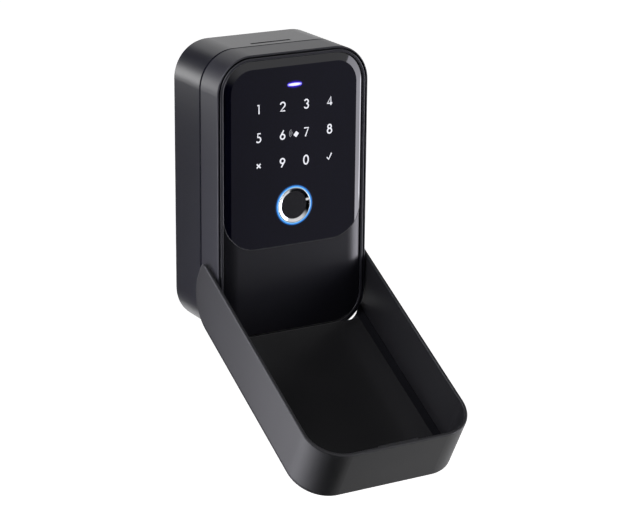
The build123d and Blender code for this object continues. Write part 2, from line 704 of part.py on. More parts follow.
def plate_screws():
    screws = []
    for x, height in PLATE_SCREWS:
        shank = BACK_PLATE - HEAD_M3_TALL + PLATE_SCREW_LONG
        screws.append(depth_screw(x, height, PLATE_BACK, shank, HEAD_M3, HEAD_M3_TALL, SCREW_M3))
    return Compound(children=screws)


# Motor, lead screw and latch
def gear_motor():
    back = PLATE_FRONT
    front = PLATE_FRONT + MOTOR_THICK
    half = LATCH_HALF
    can = block(-half, half, back, front, MOTOR_LOW, MOTOR_LOW + MOTOR_TALL)
    round_can = upright(half, 0, MOTOR_AXIS, MOTOR_LOW, MOTOR_LOW + MOTOR_TALL)
    can &= round_can
    box = block(-half, half, back, front, MOTOR_LOW + MOTOR_TALL, MOTOR_TOP)
    return can + box - upright(SCREW_RADIUS + RUN, 0, MOTOR_AXIS, MOTOR_TOP - SCREW_INSIDE, MOTOR_TOP + 1)


def lead_screw():
    return upright(SCREW_RADIUS, 0, MOTOR_AXIS, MOTOR_TOP - SCREW_INSIDE, MOTOR_TOP + SCREW_ABOVE)


def motor_clamp():
    back = PLATE_FRONT + MOTOR_THICK
    reach = CLAMP_POST_X + CLAMP_POST_RADIUS
    low = clamp_height() - CLAMP_HALF_TALL
    high = clamp_height() + CLAMP_HALF_TALL
    strap = block(-reach, reach, back, back + CLAMP_THICK, low, high)
    for side in (-1, 1):
        strap -= disc(SCREW_M2, side * CLAMP_POST_X, clamp_height(), back - 1, back + CLAMP_THICK + 1)
    return strap


def clamp_screws():
    face = PLATE_FRONT + MOTOR_THICK + CLAMP_THICK
    screws = []
    for side in (-1, 1):
        x = side * CLAMP_POST_X
        head = disc(HEAD_M2, x, clamp_height(), face, face + CLAMP_HEAD)
        screws.append(head + disc(SCREW_M2, x, clamp_height(), clamp_screw_end(), face))
    return Compound(children=screws)


def latch_bolt():
    half = LATCH_HALF
    back = PLATE_FRONT + RUN
    nut = block(-half, half, back, PLATE_FRONT + MOTOR_THICK - LOOSE, NUT_LOW, NUT_LOW + NUT_TALL)
    nut -= upright(SCREW_RADIUS + RUN, 0, MOTOR_AXIS, NUT_LOW - 1, NUT_LOW + NUT_TALL + 1)
    arm_front = back + LATCH_ARM_THICK
    bar_top = LATCH_BAR_LOW + LATCH_BAR_TALL
    arm = block(-half, half, back, arm_front, NUT_LOW, bar_top)
    bar = block(-half, half, LATCH_TIP_DEPTH, arm_front, LATCH_BAR_LOW, bar_top)
    tip_front = LATCH_TIP_DEPTH + LATCH_TIP_THICK
    tip = block(-half, half, LATCH_TIP_DEPTH, tip_front, LATCH_BAR_LOW, bar_top + LATCH_TIP_TALL)
    return nut + arm + bar + tip


# Battery compartment
def battery_tray():
    half = TRAY_HALF + TRAY_WALL
    low = TRAY_LOW - TRAY_WALL
    high = TRAY_TOP + TRAY_WALL
    tray = block(-half, half, PLATE_FRONT, TRAY_FLOOR + TRAY_WALL, low, high)
    return tray - block(-TRAY_HALF, TRAY_HALF, PLATE_FRONT - 1, TRAY_FLOOR, TRAY_LOW, TRAY_TOP)


def cell_x(index):
    return (index - (CELL_COUNT - 1) / 2) * CELL_PITCH


def nub_is_up(index):
    return index % 2 == 0


def aaa_cell(index):
    x = cell_x(index)
    low = TRAY_LOW + CONTACT_THICK
    if nub_is_up(index):
        low += SPRING_TALL
        body = upright(CELL_RADIUS, x, CELL_DEPTH_AT, low, low + CELL_LENGTH - CELL_NUB_TALL)
        high = low + CELL_LENGTH
        nub = upright(CELL_NUB_RADIUS, x, CELL_DEPTH_AT, high - CELL_NUB_TALL, high)
    else:
        body = upright(CELL_RADIUS, x, CELL_DEPTH_AT, low + CELL_NUB_TALL, low + CELL_LENGTH)
        nub = upright(CELL_NUB_RADIUS, x, CELL_DEPTH_AT, low, low + CELL_NUB_TALL)
    return body + nub


def contact_plate(index, at_top):
    x = cell_x(index)
    low = TRAY_TOP - CONTACT_THICK if at_top else TRAY_LOW
    depth_from = CELL_DEPTH_AT - CONTACT_HALF
    depth_to = CELL_DEPTH_AT + CONTACT_HALF
    return block(x - CONTACT_HALF, x + CONTACT_HALF, depth_from, depth_to, low, low + CONTACT_THICK)


def contact_plates():
    return Compound(children=[contact_plate(index, nub_is_up(index)) for index in range(CELL_COUNT)])


def contact_springs():
    springs = []
    for index in range(CELL_COUNT):
        at_top = not nub_is_up(index)
        cone = Cone(SPRING_RADIUS, SPRING_TOP_RADIUS, SPRING_TALL)
        if at_top:
            middle = TRAY_TOP - CONTACT_THICK - SPRING_TALL / 2
            cone = Rot(180, 0, 0) * cone
        else:
            middle = TRAY_LOW + CONTACT_THICK + SPRING_TALL / 2
        cone = Pos(cell_x(index), -CELL_DEPTH_AT, z_of(middle)) * cone
        springs.append(contact_plate(index, at_top) + cone)
    return Compound(children=springs)


def battery_lid():
    half = TRAY_HALF + LID_LAP - FIT
    low = TRAY_LOW - LID_LAP + FIT
    high = TRAY_TOP + LID_LAP - FIT
    lid = block(-half, half, PLATE_BACK, PLATE_BACK + LID_THICK, low, high)
    tongue = LID_TONGUE_HALF - FIT
    lid += block(-tongue, tongue, PLATE_BACK, PLATE_BACK + LID_THICK, high - 1, high + LID_TONGUE)
    for x in (-TRAY_HALF / 2, TRAY_HALF / 2):
        rib_low = TRAY_LOW + LID_RIB_END
        rib_high = TRAY_TOP - LID_RIB_END
        rib_front = PLATE_BACK + LID_THICK + LID_RIB
        lid += block(x - LID_RIB_HALF, x + LID_RIB_HALF, PLATE_BACK + LID_THICK, rib_front, rib_low, rib_high)
    x, height = lid_screw_spot()
    return lid - disc(SCREW_M2, x, height, PLATE_BACK - 1, PLATE_FRONT)


def battery_lid_screw():
    x, height = lid_screw_spot()
    shank = BACK_PLATE + LID_SCREW_IN
    return depth_screw(x, height, PLATE_BACK - HEAD_M2_TALL, shank, HEAD_M2, HEAD_M2_TALL, SCREW_M2)


# Charging port in the door's underside
def port_block(wide, thick, low, high):
    outline = RectangleRounded(wide, thick, thick / 2 - 0.01)
    plane = Plane(origin=(PORT_X, -PORT_DEPTH_AT, z_of(low)))
    return extrude(plane * outline, amount=high - low)


def usb_port():
    shell = port_block(PORT_WIDE, PORT_THICK, 0.4, PORT_LONG)
    hollow = port_block(PORT_WIDE - 2 * PORT_SHELL, PORT_THICK - 2 * PORT_SHELL, -1, PORT_LONG - 1)
    tongue_half = PORT_WIDE / 2 - 1.2
    tongue_back = PORT_DEPTH_AT - PORT_TONGUE / 2
    tongue_front = tongue_back + PORT_TONGUE
    tongue = block(PORT_X - tongue_half, PORT_X + tongue_half, tongue_back, tongue_front, 1.4, PORT_LONG)
    return shell - hollow + tongue


# Weather cover, drawn shut and then swung open about its stubs
def cover_profile():
    back = -COVER_RIM_DEPTH
    front = -COVER_FRONT_DEPTH
    top = z_of(COVER_TOP)
    low = z_of(COVER_LOW)
    arc_y = front + COVER_LOW_ARC
    arc_z = low + COVER_LOW_ARC
    diagonal = COVER_LOW_ARC * math.sqrt(0.5)
    tip = COVER_TIP_ROUND
    tip_diagonal = tip * math.sqrt(0.5)
    lines = [
        Line((0, back, low + tip), (0, back, top)),
        Line((0, back, top), (0, front, top)),
        Line((0, front, top), (0, front, arc_z)),
        ThreePointArc((0, front, arc_z), (0, arc_y - diagonal, arc_z - diagonal), (0, arc_y, low)),
        Line((0, arc_y, low), (0, back - tip, low)),
        ThreePointArc(
            (0, back - tip, low),
            (0, back - tip + tip_diagonal, low + tip - tip_diagonal),
            (0, back, low + tip),
        ),
    ]
    return make_face(Wire(lines))


def tall_outline(inset):
    width = COVER_WIDTH - 2 * inset
    tall = 2 * COVER_TOP
    middle = z_of(COVER_TOP) - inset - tall / 2
    return Pos(0, middle) * RectangleRounded(width, tall, COVER_CORNER - inset)


def front_notch():
    inside = COVER_INSIDE
    high = z_of(COVER_FRONT_LOW)
    low = z_of(COVER_LOW - 1)
    lines = [
        Line((inside, low), (inside, high - TAB_TALL)),
        ThreePointArc(
            (inside, high - TAB_TALL),
            (inside - TAB_BEND_IN, high - TAB_BEND_DOWN),
            (inside - TAB_WIDE, high),
        ),
        Line((inside - TAB_WIDE, high), (TAB_WIDE - inside, high)),
        ThreePointArc(
            (TAB_WIDE - inside, high),
            (TAB_BEND_IN - inside, high - TAB_BEND_DOWN),
            (-inside, high - TAB_TALL),
        ),
        Line((-inside, high - TAB_TALL), (-inside, low)),
        Line((-inside, low), (inside, low)),
    ]
    outline = make_face(Wire(lines))
    back = COVER_FRONT_DEPTH - COVER_FRONT_WALL - 1
    return extrude(front_plane(back) * outline, amount=COVER_FRONT_WALL + 2)


def closed_cover():
    deep = COVER_FRONT_DEPTH - COVER_RIM_DEPTH
    block_shape = extrude(front_plane(COVER_RIM_DEPTH) * tall_outline(0), amount=deep)
    profile = extrude(cover_profile(), amount=COVER_WIDTH / 2 + 1, both=True)
    shell = block_shape & profile
    shell = fillet(shell.edges().group_by(Axis.Y)[0], COVER_EDGE_ROUND)
    inside_front = COVER_FRONT_DEPTH - COVER_FRONT_WALL
    hollow = front_plane(COVER_RIM_DEPTH - 1) * tall_outline(COVER_SIDE_WALL)
    shell -= extrude(hollow, amount=inside_front - COVER_RIM_DEPTH + 1)
    shell = fillet(shell.edges().group_by(Axis.Y)[-1], COVER_RIM_ROUND)
    return shell - front_notch()


def cover_nib():
    half = SLOT_LENGTH / 2 - NIB_SIDE
    depth_from = SLOT_DEPTH_AT - SLOT_WIDE / 2 + NIB_SIDE
    depth_to = SLOT_DEPTH_AT + SLOT_WIDE / 2 - NIB_SIDE
    high = COVER_TOP - COVER_SIDE_WALL / 2
    return block(-half, half, depth_from, depth_to, BODY_HEIGHT - NIB_REACH, high)


def swing_open(shape):
    axis = Axis((0, -COVER_PIVOT_DEPTH, z_of(COVER_PIVOT_UP)), (1, 0, 0))
    return shape.rotate(axis, COVER_OPEN_ANGLE)


def weather_cover():
    cover = closed_cover() + cover_nib()
    for side in (-1, 1):
        ends = sorted((side * (HALF_WIDTH - DOOR_WALL - BUSH_INSIDE), side * (COVER_INSIDE + 0.5)))
        cover += crossbar(STUB_RADIUS, COVER_PIVOT_DEPTH, COVER_PIVOT_UP, *ends)
    return swing_open(cover)


def cover_liner():
    front = COVER_FRONT_DEPTH - COVER_FRONT_WALL
    low = COVER_FRONT_LOW + 0.6
    tall = 2 * (LINER_TOP - low)
    outline = Pos(0, z_of(LINER_TOP) - tall / 2) * RectangleRounded(LINER_WIDTH, tall, LINER_CORNER)
    sheet = extrude(front_plane(front - LINER_THICK) * outline, amount=LINER_THICK)
    sheet -= block(-LINER_WIDTH, LINER_WIDTH, front - LINER_THICK - 1, front + 1, low - tall, low)
    return swing_open(sheet)


def cover_bushes():
    bushes = []
    for side in (-1, 1):
        flange_out = COVER_INSIDE - FIT
        ends = sorted((side * HALF_WIDTH, side * flange_out))
        flange = crossbar(BUSH_FLANGE_RADIUS, COVER_PIVOT_DEPTH, COVER_PIVOT_UP, *ends)
        ends = sorted((side * (HALF_WIDTH - DOOR_WALL - BUSH_INSIDE), side * HALF_WIDTH))
        shank = crossbar(BUSH_RADIUS, COVER_PIVOT_DEPTH, COVER_PIVOT_UP, *ends)
        ends = sorted((side * (HALF_WIDTH - DOOR_WALL - BUSH_INSIDE - 1), side * (COVER_INSIDE + 1)))
        bore = crossbar(STUB_RADIUS + RUN, COVER_PIVOT_DEPTH, COVER_PIVOT_UP, *ends)
        bushes.append(flange + shank - bore)
    return Compound(children=bushes)


def main():
    os.makedirs("parts", exist_ok=True)
    save("rear_housing", rear_housing())
    save("door_seal", door_seal())
    save("hinge_pin", hinge_pin())
    save("strike_plate", strike_plate())
    save("strike_screws", strike_screws())
    save("hook_strip", hook_strip())
    save("hook_screws", hook_screws())
    save("door_frame", door_frame())
    save("front_bezel", front_bezel())
    save("touch_panel", touch_panel())
    save("lower_panel", lower_panel())
    save("led_bar", led_bar())
    save("reader_module", reader_module())
    save("led_ring", led_ring())
    save("chrome_ring", chrome_ring())
    save("sensor_disc", sensor_disc())
    save("main_board", main_board())
    save("board_parts", board_parts())
    save("board_screws", board_screws())
    save("door_back_plate", door_back_plate())
    save("plate_screws", plate_screws())
    save("gear_motor", gear_motor())
    save("lead_screw", lead_screw())
    save("motor_clamp", motor_clamp())
    save("clamp_screws", clamp_screws())
    save("latch_bolt", latch_bolt())
    save("battery_tray", battery_tray())
    for index in range(CELL_COUNT):
        save(f"aaa_cell_{index + 1}", aaa_cell(index))
    save("contact_plates", contact_plates())
    save("contact_springs", contact_springs())
    save("battery_lid", battery_lid())
    save("battery_lid_screw", battery_lid_screw())
    save("usb_port", usb_port())
    save("cover_bushes", cover_bushes())
    save("weather_cover", weather_cover())
    save("cover_liner", cover_liner())


main()
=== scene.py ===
import math

import bmesh
import bpy
from mathutils import Matrix, Vector


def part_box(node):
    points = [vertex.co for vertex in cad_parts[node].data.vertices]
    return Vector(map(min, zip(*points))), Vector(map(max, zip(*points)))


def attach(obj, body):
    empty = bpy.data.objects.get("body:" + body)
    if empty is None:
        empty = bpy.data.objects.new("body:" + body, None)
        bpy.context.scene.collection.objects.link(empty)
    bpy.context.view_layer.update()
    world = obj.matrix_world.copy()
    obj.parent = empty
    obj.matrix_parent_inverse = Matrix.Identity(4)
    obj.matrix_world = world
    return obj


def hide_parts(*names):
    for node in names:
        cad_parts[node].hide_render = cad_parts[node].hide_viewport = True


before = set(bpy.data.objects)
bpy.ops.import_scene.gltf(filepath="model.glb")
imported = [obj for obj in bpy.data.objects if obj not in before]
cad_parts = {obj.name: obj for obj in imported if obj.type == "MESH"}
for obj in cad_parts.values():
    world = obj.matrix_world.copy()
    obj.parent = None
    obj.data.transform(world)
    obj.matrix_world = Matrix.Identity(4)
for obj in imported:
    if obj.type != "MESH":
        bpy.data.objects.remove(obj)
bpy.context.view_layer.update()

MM = 0.001

# The box, and its touch panel: its flat face, the band that falls away and the U of its foot
BODY_TALL = 165.0
BODY_HALF = 47.5
GLASS_FACE = 54.1
FLAT_HALF = 39.6
BAND_WIDE = 4.3
BAND_DROP = 1.3
BAND_FALL = BAND_DROP / BAND_WIDE
PANEL_HALF = 43.9
PANEL_CORNER = 17.4
GLASS_LOW = 54.5
GLASS_CORNER = 20.0

# The stripe of painted highlight along the panel's sides: where it starts and is full, in from
# the side, above the foot's round corners and above the head's
STRIPE_IN = (1.6, 1.1)
STRIPE_OVER_FOOT = (-3, 5)
STRIPE_OVER_HEAD = (2, -4)

# Touch keys: four columns and three rows, in mm from the middle and from the box's bottom
KEY_COLUMNS = (-22.5, -7.5, 7.5, 22.5)
KEY_ROWS = (134.6, 118.6, 102.6)
KEY_LAYOUT = ("1234", "5678", "x90v")
DIGIT_TALL = 5.4
STROKE_WIDE = 0.82
INK_LIFT = 0.01
INK_THICK = 0.015
INK_FLATNESS = 0.04

# The card mark in their middle row: the card's place, tilt, half size and corners, and its waves
CARD_AT = (1.1, -0.56)
CARD_TILT = -40
CARD_HALF = (1.15, 1.4)
CARD_CORNER = 0.35
WAVES_AT = (-0.9, 0.2)
WAVE_RADII = (0.7, 1.5, 2.3)
WAVE_FAN = (118, 232)
WAVE_WIDE = 0.3

# The panel's polished edge line: its width, and how far it lies inside the corners and the face
EDGE_WIDE = 0.42
EDGE_IN = 0.12
EDGE_SUNK = 0.1

# Parting seam: its middle, out from the wall, and how far its painted shade reaches to each side
SEAM_AT = 32.5
SEAM_SHADE_REACH = 0.95

# The open cover's floor: which way it faces, how far its plane is from the middle, and its liner,
# beside which a stripe of shade is painted
COVER_FLOOR_FACING = (0.0, -0.481, 0.8767)
COVER_FLOOR_LEVEL = -42.93
COVER_FLOOR_REACH = 0.3
LINER_HALF = 43.2

# Lit bar and reader: their heights, half the width and height of the bar's light and of its spill
# into the panel, and between which distances from the reader's middle its light and its spill fade
BAR_AT = 146.4
BAR_LIGHT = (4.4, 0.85)
BAR_SPILL = (6.4, 2.8)
READER_AT = 77.3
RING_LIGHT = (10.2, 11.7)
RING_SPILL = (11.2, 12.7)

# Small metal: the screws' chamfer, ridge, pitch and socket (as shares of the head), the lead
# screw's lead, ridge and room all round, the springs' wire radius, the coil's two radii and its
# turns, and the share of its ridge that a thread fills, so that it stays inside the CAD solid
CHAMFER = 0.25
RIDGE = 0.22
PITCH = 0.5
SOCKET_WIDE, SOCKET_DEEP = 0.5, 0.55
LEAD = 2.5
LEAD_RIDGE = 0.28
LEAD_ROOM = 0.05
SPRING_WIRE = 0.25
SPRING_WIDE, SPRING_SMALL = 2.5, 1.35
SPRING_TURNS = 4.0
THREAD_FILLS = 0.98

# How much a plain plastic mirrors: the shader's own usual value
USUAL_SHEEN = 0.5

# The photograph's camera: its azimuth, elevation and roll in degrees, its place in metres and its
# lens in mm
CAMERA_TURNS = (-29.82, 17.67, 0.4836)
CAMERA_AT = (-0.59106, -1.10222, 0.34293)
CAMERA_LENS = 130.58

# The studio, in metres: the floor, its reach, the foot of the boards and the front ones' place; how
# strongly the room lights the object, and how much light lifts the paper floor to white
FLOOR_AT = -0.62
FLOOR_REACH = 4.0
BOARD_FOOT = -0.61
FRONT_AT = -1.3
ROOM_LIGHT = 0.22
FLOOR_LIFT = 0.86


def spot(x, depth, height):
    """A point given in mm from the middle, out from the wall and up from the box's bottom."""
    return Vector((x * MM, -depth * MM, (height - BODY_TALL / 2) * MM))


def add_object(name, data):
    thing = bpy.data.objects.new(name, data)
    bpy.context.collection.objects.link(thing)
    return thing


# Colours, the one helper that adds a node, and what every finish shares

def paint(code):
    channels = [int(code[i:i + 2], 16) / 255 for i in (1, 3, 5)]
    linear = [c / 12.92 if c <= 0.04045 else ((c + 0.055) / 1.055) ** 2.4 for c in channels]
    return (*linear, 1.0)


def link(tree, source, socket):
    """Links an output to a socket; a node stands for its own first output."""
    if isinstance(source, bpy.types.Node):
        source = source.outputs[0]
    tree.links.new(source, socket)


def add_node(tree, kind, settings=None, links=None, **attributes):
    node = tree.nodes.new(kind)
    for name, value in attributes.items():
        setattr(node, name, value)
    for socket, value in (settings or {}).items():
        node.inputs[socket].default_value = value
    for socket, source in (links or {}).items():
        link(tree, source, node.inputs[socket])
    return node


def blank_nodes(block):
    """Gives a material or the world an empty node tree."""
    block.use_nodes = True
    block.node_tree.nodes.clear()
    return block.node_tree


def new_finish(name, metallic=0.0):
    material = bpy.data.materials.new(name)
    tree = blank_nodes(material)
    place = add_node(tree, "ShaderNodeTexCoord").outputs["Object"]
    shader = add_node(tree, "ShaderNodeBsdfPrincipled", {"Metallic": metallic})
    add_node(tree, "ShaderNodeOutputMaterial", links={"Surface": shader})
    return material, tree, place, shader


def wear_pattern(tree, shader, pattern, tones, gloss):
    """Lets one pattern move the colour between two tones and the roughness between two values."""
    blend = add_node(tree, "ShaderNodeValToRGB", links={"Fac": pattern})
    for stop, position, tone in zip(blend.color_ramp.elements, (0.3, 0.7), tones):
        stop.position = position
        stop.color = paint(tone)
    link(tree, blend, shader.inputs["Base Color"])
    rough = add_node(tree, "ShaderNodeMapRange", {"To Min": gloss[0], "To Max": gloss[1]},
                     {"Value": pattern})
    link(tree, rough, shader.inputs["Roughness"])


def stand_up(tree, shader, pattern, strength, tall_mm, under=None):
    """Gives a pattern height on the surface; a second one can lie on a first."""
    links = {"Height": pattern} if under is None else {"Height": pattern, "Normal": under}
    bump = add_node(tree, "ShaderNodeBump", {"Strength": strength, "Distance": tall_mm * MM}, links)
    link(tree, bump, shader.inputs["Normal"])
    return bump


def grained_finish(name, grain_mm, detail, tones, gloss, relief=None, metallic=0.0,
                   sheen=USUAL_SHEEN, drawn=None):
    """A finish whose tone and roughness follow one grain, which can be relief or drawn long too."""
    material, tree, place, shader = new_finish(name, metallic)
    if drawn:
        place = add_node(tree, "ShaderNodeMapping", {"Scale": drawn}, {"Vector": place})
    grain = add_node(tree, "ShaderNodeTexNoise", {"Scale": 1 / (grain_mm * MM), "Detail": detail},
                     {"Vector": place})
    wear_pattern(tree, shader, grain, tones, gloss)
    if relief:
        stand_up(tree, shader, grain, *relief)
    shader.inputs["Specular IOR Level"].default_value = sheen
    return material


def lit_through(tree, shader, colour, strength, unlit, rough):
    """Light that comes out of a surface, and the tone and roughness it has without that light."""
    link(tree, colour, shader.inputs["Emission Color"])
    shader.inputs["Emission Strength"].default_value = strength
    shader.inputs["Base Color"].default_value = paint(unlit)
    shader.inputs["Roughness"].default_value = rough


def shade_by_dulling(tree, shader, mask):
    """Takes nearly all sheen away where a mask is one, as painted shade."""
    sheen = add_node(tree, "ShaderNodeMapRange", {"To Min": USUAL_SHEEN, "To Max": 0.04},
                     {"Value": mask})
    link(tree, sheen, shader.inputs["Specular IOR Level"])


# Finishes, each named for its material and how it was made

def satin_powder_coat_on_zinc(name, gloss):
    """Baked charcoal powder coat: a satin film whose orange peel of about 1.4 mm breaks up long
    reflections, over fine grit that is drawn at 0.3 mm so that it shows. The housing's film is a
    little smoother than the door's, so the halves catch the light differently at the seam. Near
    the seam its sheen is taken away: a painted shade that draws the gap as a dark line."""
    material, tree, place, shader = new_finish(name)
    peel, grit = (add_node(tree, "ShaderNodeTexNoise", {"Scale": 1 / (mm * MM), "Detail": detail},
                           {"Vector": place}) for mm, detail in ((1.4, 2.0), (0.3, 3.0)))
    wear_pattern(tree, shader, grit, ("#13131c", "#1a1a24"), gloss)
    film = stand_up(tree, shader, peel, 0.10, 0.010)
    stand_up(tree, shader, grit, 0.12, 0.010, under=film)
    along = add_node(tree, "ShaderNodeSeparateXYZ", links={"Vector": place})
    # Painted shade: no sheen within reach of the seam, so the gap shows as a dark line
    seam_shade = add_node(tree, "ShaderNodeMath", {1: -SEAM_AT * MM, 2: SEAM_SHADE_REACH * MM},
                      {0: along.outputs["Y"]}, operation="COMPARE")
    shade_by_dulling(tree, shader, seam_shade)
    return material


def satin_sprayed_bezel():
    """Charcoal sprayed as a thinner, smoother film than the body's, so the narrow rim draws a clear
    line of light. Its tone is paler than the body's: a painted highlight along the rim. Its grit
    is drawn at 0.4 mm."""
    return grained_finish("satin_sprayed_bezel", 0.4, 2.0, ("#26262c", "#2e2e35"), (0.20, 0.28))


def spark_textured_abs():
    """ABS moulded in a spark-eroded tool: matt black with a crisp grain, drawn at 0.35 mm to show,
    and broad, faint flow bands that shift its sheen. On the floor beside the liner its sheen is
    taken away: a painted shade that draws a dark stripe there."""
    material, tree, place, shader = new_finish("spark_textured_abs")
    grain, flow = (add_node(tree, "ShaderNodeTexNoise", {"Scale": 1 / (mm * MM), "Detail": detail},
                            {"Vector": place}) for mm, detail in ((0.35, 4.0), (30, 2.0)))
    both = add_node(tree, "ShaderNodeMath", {1: 0.5}, {0: grain, 2: flow}, operation="MULTIPLY_ADD")
    centred = add_node(tree, "ShaderNodeMath", {1: 0.25}, {0: both}, operation="SUBTRACT")
    wear_pattern(tree, shader, centred, ("#121216", "#18181c"), (0.44, 0.56))
    stand_up(tree, shader, grain, 0.22, 0.02)
    # Painted shade: a dark stripe on the cover's floor beside the liner
    shade_by_dulling(tree, shader, painted_shade_beside_liner(tree, place))
    return material


def painted_shade_beside_liner(tree, place):
    """One on the cover's floor between the liner's edge and the side wall, where shade is painted,
    else nothing.
    """
    height = add_node(tree, "ShaderNodeVectorMath", {1: COVER_FLOOR_FACING}, {0: place},
                      operation="DOT_PRODUCT")
    on_floor = add_node(tree, "ShaderNodeMath",
                        {1: COVER_FLOOR_LEVEL * MM, 2: COVER_FLOOR_REACH * MM},
                        {0: height.outputs["Value"]}, operation="COMPARE")
    along = add_node(tree, "ShaderNodeSeparateXYZ", links={"Vector": place})
    sideways = add_node(tree, "ShaderNodeMath", links={0: along.outputs["X"]}, operation="ABSOLUTE")
    outside = add_node(tree, "ShaderNodeMath", {1: LINER_HALF * MM}, {0: sideways},
                       operation="GREATER_THAN")
    return add_node(tree, "ShaderNodeMath", links={0: on_floor, 1: outside}, operation="MULTIPLY")


def distance_from(tree, place, centre, stretch):
    """How far a point lies from a centre, in mm, with each direction stretched for an oval."""
    moved = add_node(tree, "ShaderNodeVectorMath", {1: tuple(centre)}, {0: place},
                     operation="SUBTRACT")
    scaled = add_node(tree, "ShaderNodeVectorMath", {1: tuple(s / MM for s in stretch)},
                      {0: moved}, operation="MULTIPLY")
    return add_node(tree, "ShaderNodeVectorMath", links={0: scaled},
                    operation="LENGTH").outputs["Value"]


def falling_light(tree, distance, near, far, power):
    """Light that is full at one distance and fades to nothing at another."""
    fade = add_node(tree, "ShaderNodeMapRange",
                    {"From Min": near, "From Max": far, "To Min": 1.0, "To Max": 0.0},
                    {"Value": distance}, interpolation_type="SMOOTHSTEP")
    return add_node(tree, "ShaderNodeMath", {1: power}, {0: fade}, operation="POWER")


def smoked_hard_coated_panel():
    """Smoked polycarbonate under a polished hard coat: near black and mirror smooth, with the light
    of the bar and of the reader's ring spilling a few millimetres into it. Along the straight
    sides its sheen and coat are raised: a painted highlight that draws a brighter stripe."""
    material, tree, place, shader = new_finish("smoked_hard_coated_panel")
    haze = add_node(tree, "ShaderNodeTexNoise", {"Scale": 1 / (25 * MM), "Detail": 2.0},
                    {"Vector": place})
    wear_pattern(tree, shader, haze, ("#070713", "#0a0a18"), (0.05, 0.08))
    link(tree, spilled_light(tree, place), shader.inputs["Emission Color"])
    shader.inputs["Emission Strength"].default_value = 1.0
    # Painted highlight: more sheen and coat in a stripe along the straight sides
    painted_highlight = along_straight_sides(tree, place)
    sheen = add_node(tree, "ShaderNodeMapRange", {"To Min": USUAL_SHEEN, "To Max": 1.0},
                     {"Value": painted_highlight})
    link(tree, sheen, shader.inputs["Specular IOR Level"])
    link(tree, painted_highlight, shader.inputs["Coat Weight"])
    return material


def spilled_light(tree, place):
    """Violet light in the panel round the bar, and blue light round the reader."""
    wide, tall = BAR_SPILL
    glows = []
    for tone, height, stretch, reach, power in (
            ("#4420ff", BAR_AT, (1 / wide, 0.0, 1 / tall), (0.15, 1.0), 1.8),
            ("#06305c", READER_AT, (1.0, 0.0, 1.0), RING_SPILL, 2.4)):
        distance = distance_from(tree, place, spot(0, GLASS_FACE, height), stretch)
        glow = falling_light(tree, distance, *reach, power)
        glows.append(add_node(tree, "ShaderNodeVectorMath", {0: paint(tone)[:3]}, {"Scale": glow},
                              operation="SCALE"))
    return add_node(tree, "ShaderNodeVectorMath", links={0: glows[0], 1: glows[1]}, operation="ADD")


def along_straight_sides(tree, place):
    """One in the stripe of painted highlight at the panel's straight sides, fading out into its
    round corners.
    """
    along = add_node(tree, "ShaderNodeSeparateXYZ", links={"Vector": place})
    sideways = add_node(tree, "ShaderNodeMath", links={0: along.outputs["X"]}, operation="ABSOLUTE")
    foot = spot(0, 0, GLASS_LOW + GLASS_CORNER).z
    head = spot(0, 0, BODY_TALL - PANEL_CORNER).z
    edge, above, below = (
        add_node(tree, "ShaderNodeMapRange", {"From Min": nothing, "From Max": full},
                 {"Value": value}, interpolation_type="SMOOTHSTEP")
        for value, (nothing, full) in (
            (sideways, [(PANEL_HALF - inwards) * MM for inwards in STRIPE_IN]),
            (along.outputs["Z"], [foot + over * MM for over in STRIPE_OVER_FOOT]),
            (along.outputs["Z"], [head + over * MM for over in STRIPE_OVER_HEAD])))
    straight = add_node(tree, "ShaderNodeMath", links={0: above, 1: below}, operation="MULTIPLY")
    return add_node(tree, "ShaderNodeMath", links={0: edge, 1: straight}, operation="MULTIPLY")


def painted_highlight_panel_edge():
    """The touch panel's edge, flame polished, in a tone far paler than the panel's: a painted
    highlight that draws a fine pale line."""
    return grained_finish("painted_highlight_panel_edge", 6, 2.0, ("#3a3a3e", "#4c4c50"), (0.10, 0.18))


def matt_moulded_abs():
    """Black ABS moulded in a finely blasted tool, with a grain drawn at 0.25 mm: the plate on the
    door's back, the battery tray and its lid."""
    return grained_finish("matt_moulded_abs", 0.25, 3.0, ("#0c0c0e", "#111113"), (0.36, 0.44),
                          relief=(0.10, 0.01))


def satin_moulded_lower_panel():
    """The lower panel: black ABS from a tool polished a little finer than the door's back, so light
    from the side sits on it as a soft patch."""
    return grained_finish("satin_moulded_lower_panel", 0.25, 3.0, ("#090910", "#0d0d15"),
                          (0.26, 0.34), relief=(0.05, 0.01))


def rolled_pet_sheet():
    """Black PET sheet glued inside the cover: smooth, with the slow waves that rolling leaves."""
    return grained_finish("rolled_pet_sheet", 45, 1.0, ("#19191b", "#1c1c1e"), (0.22, 0.30),
                          relief=(0.15, 0.3))


def extruded_epdm_seal():
    """Extruded EPDM rubber: dull black, hardly any sheen, with fine lines of the die at 0.2 mm."""
    return grained_finish("extruded_epdm_seal", 0.2, 2.0, ("#060607", "#09090a"), (0.70, 0.85),
                          relief=(0.15, 0.01), sheen=0.1)


def clear_zinc_plated_steel():
    """Stamped or cold-headed steel under clear zinc: bluish silver with a cloudy 2.5 mm bloom."""
    return grained_finish("clear_zinc_plated_steel", 2.5, 3.0, ("#a9adb2", "#c3c6c9"),
                          (0.26, 0.42), metallic=1.0)


def ground_stainless_pin():
    """Centreless-ground stainless bar: fine rings round it, drawn 0.6 mm apart, that stretch its
    highlight along its length."""
    material, tree, place, shader = new_finish("ground_stainless_pin", metallic=1.0)
    rings = add_node(tree, "ShaderNodeTexWave", {"Scale": 1 / (0.6 * MM), "Distortion": 0.4},
                     {"Vector": place})
    wear_pattern(tree, shader, rings.outputs["Fac"], ("#9a9a9a", "#b4b4b2"), (0.22, 0.34))
    return material


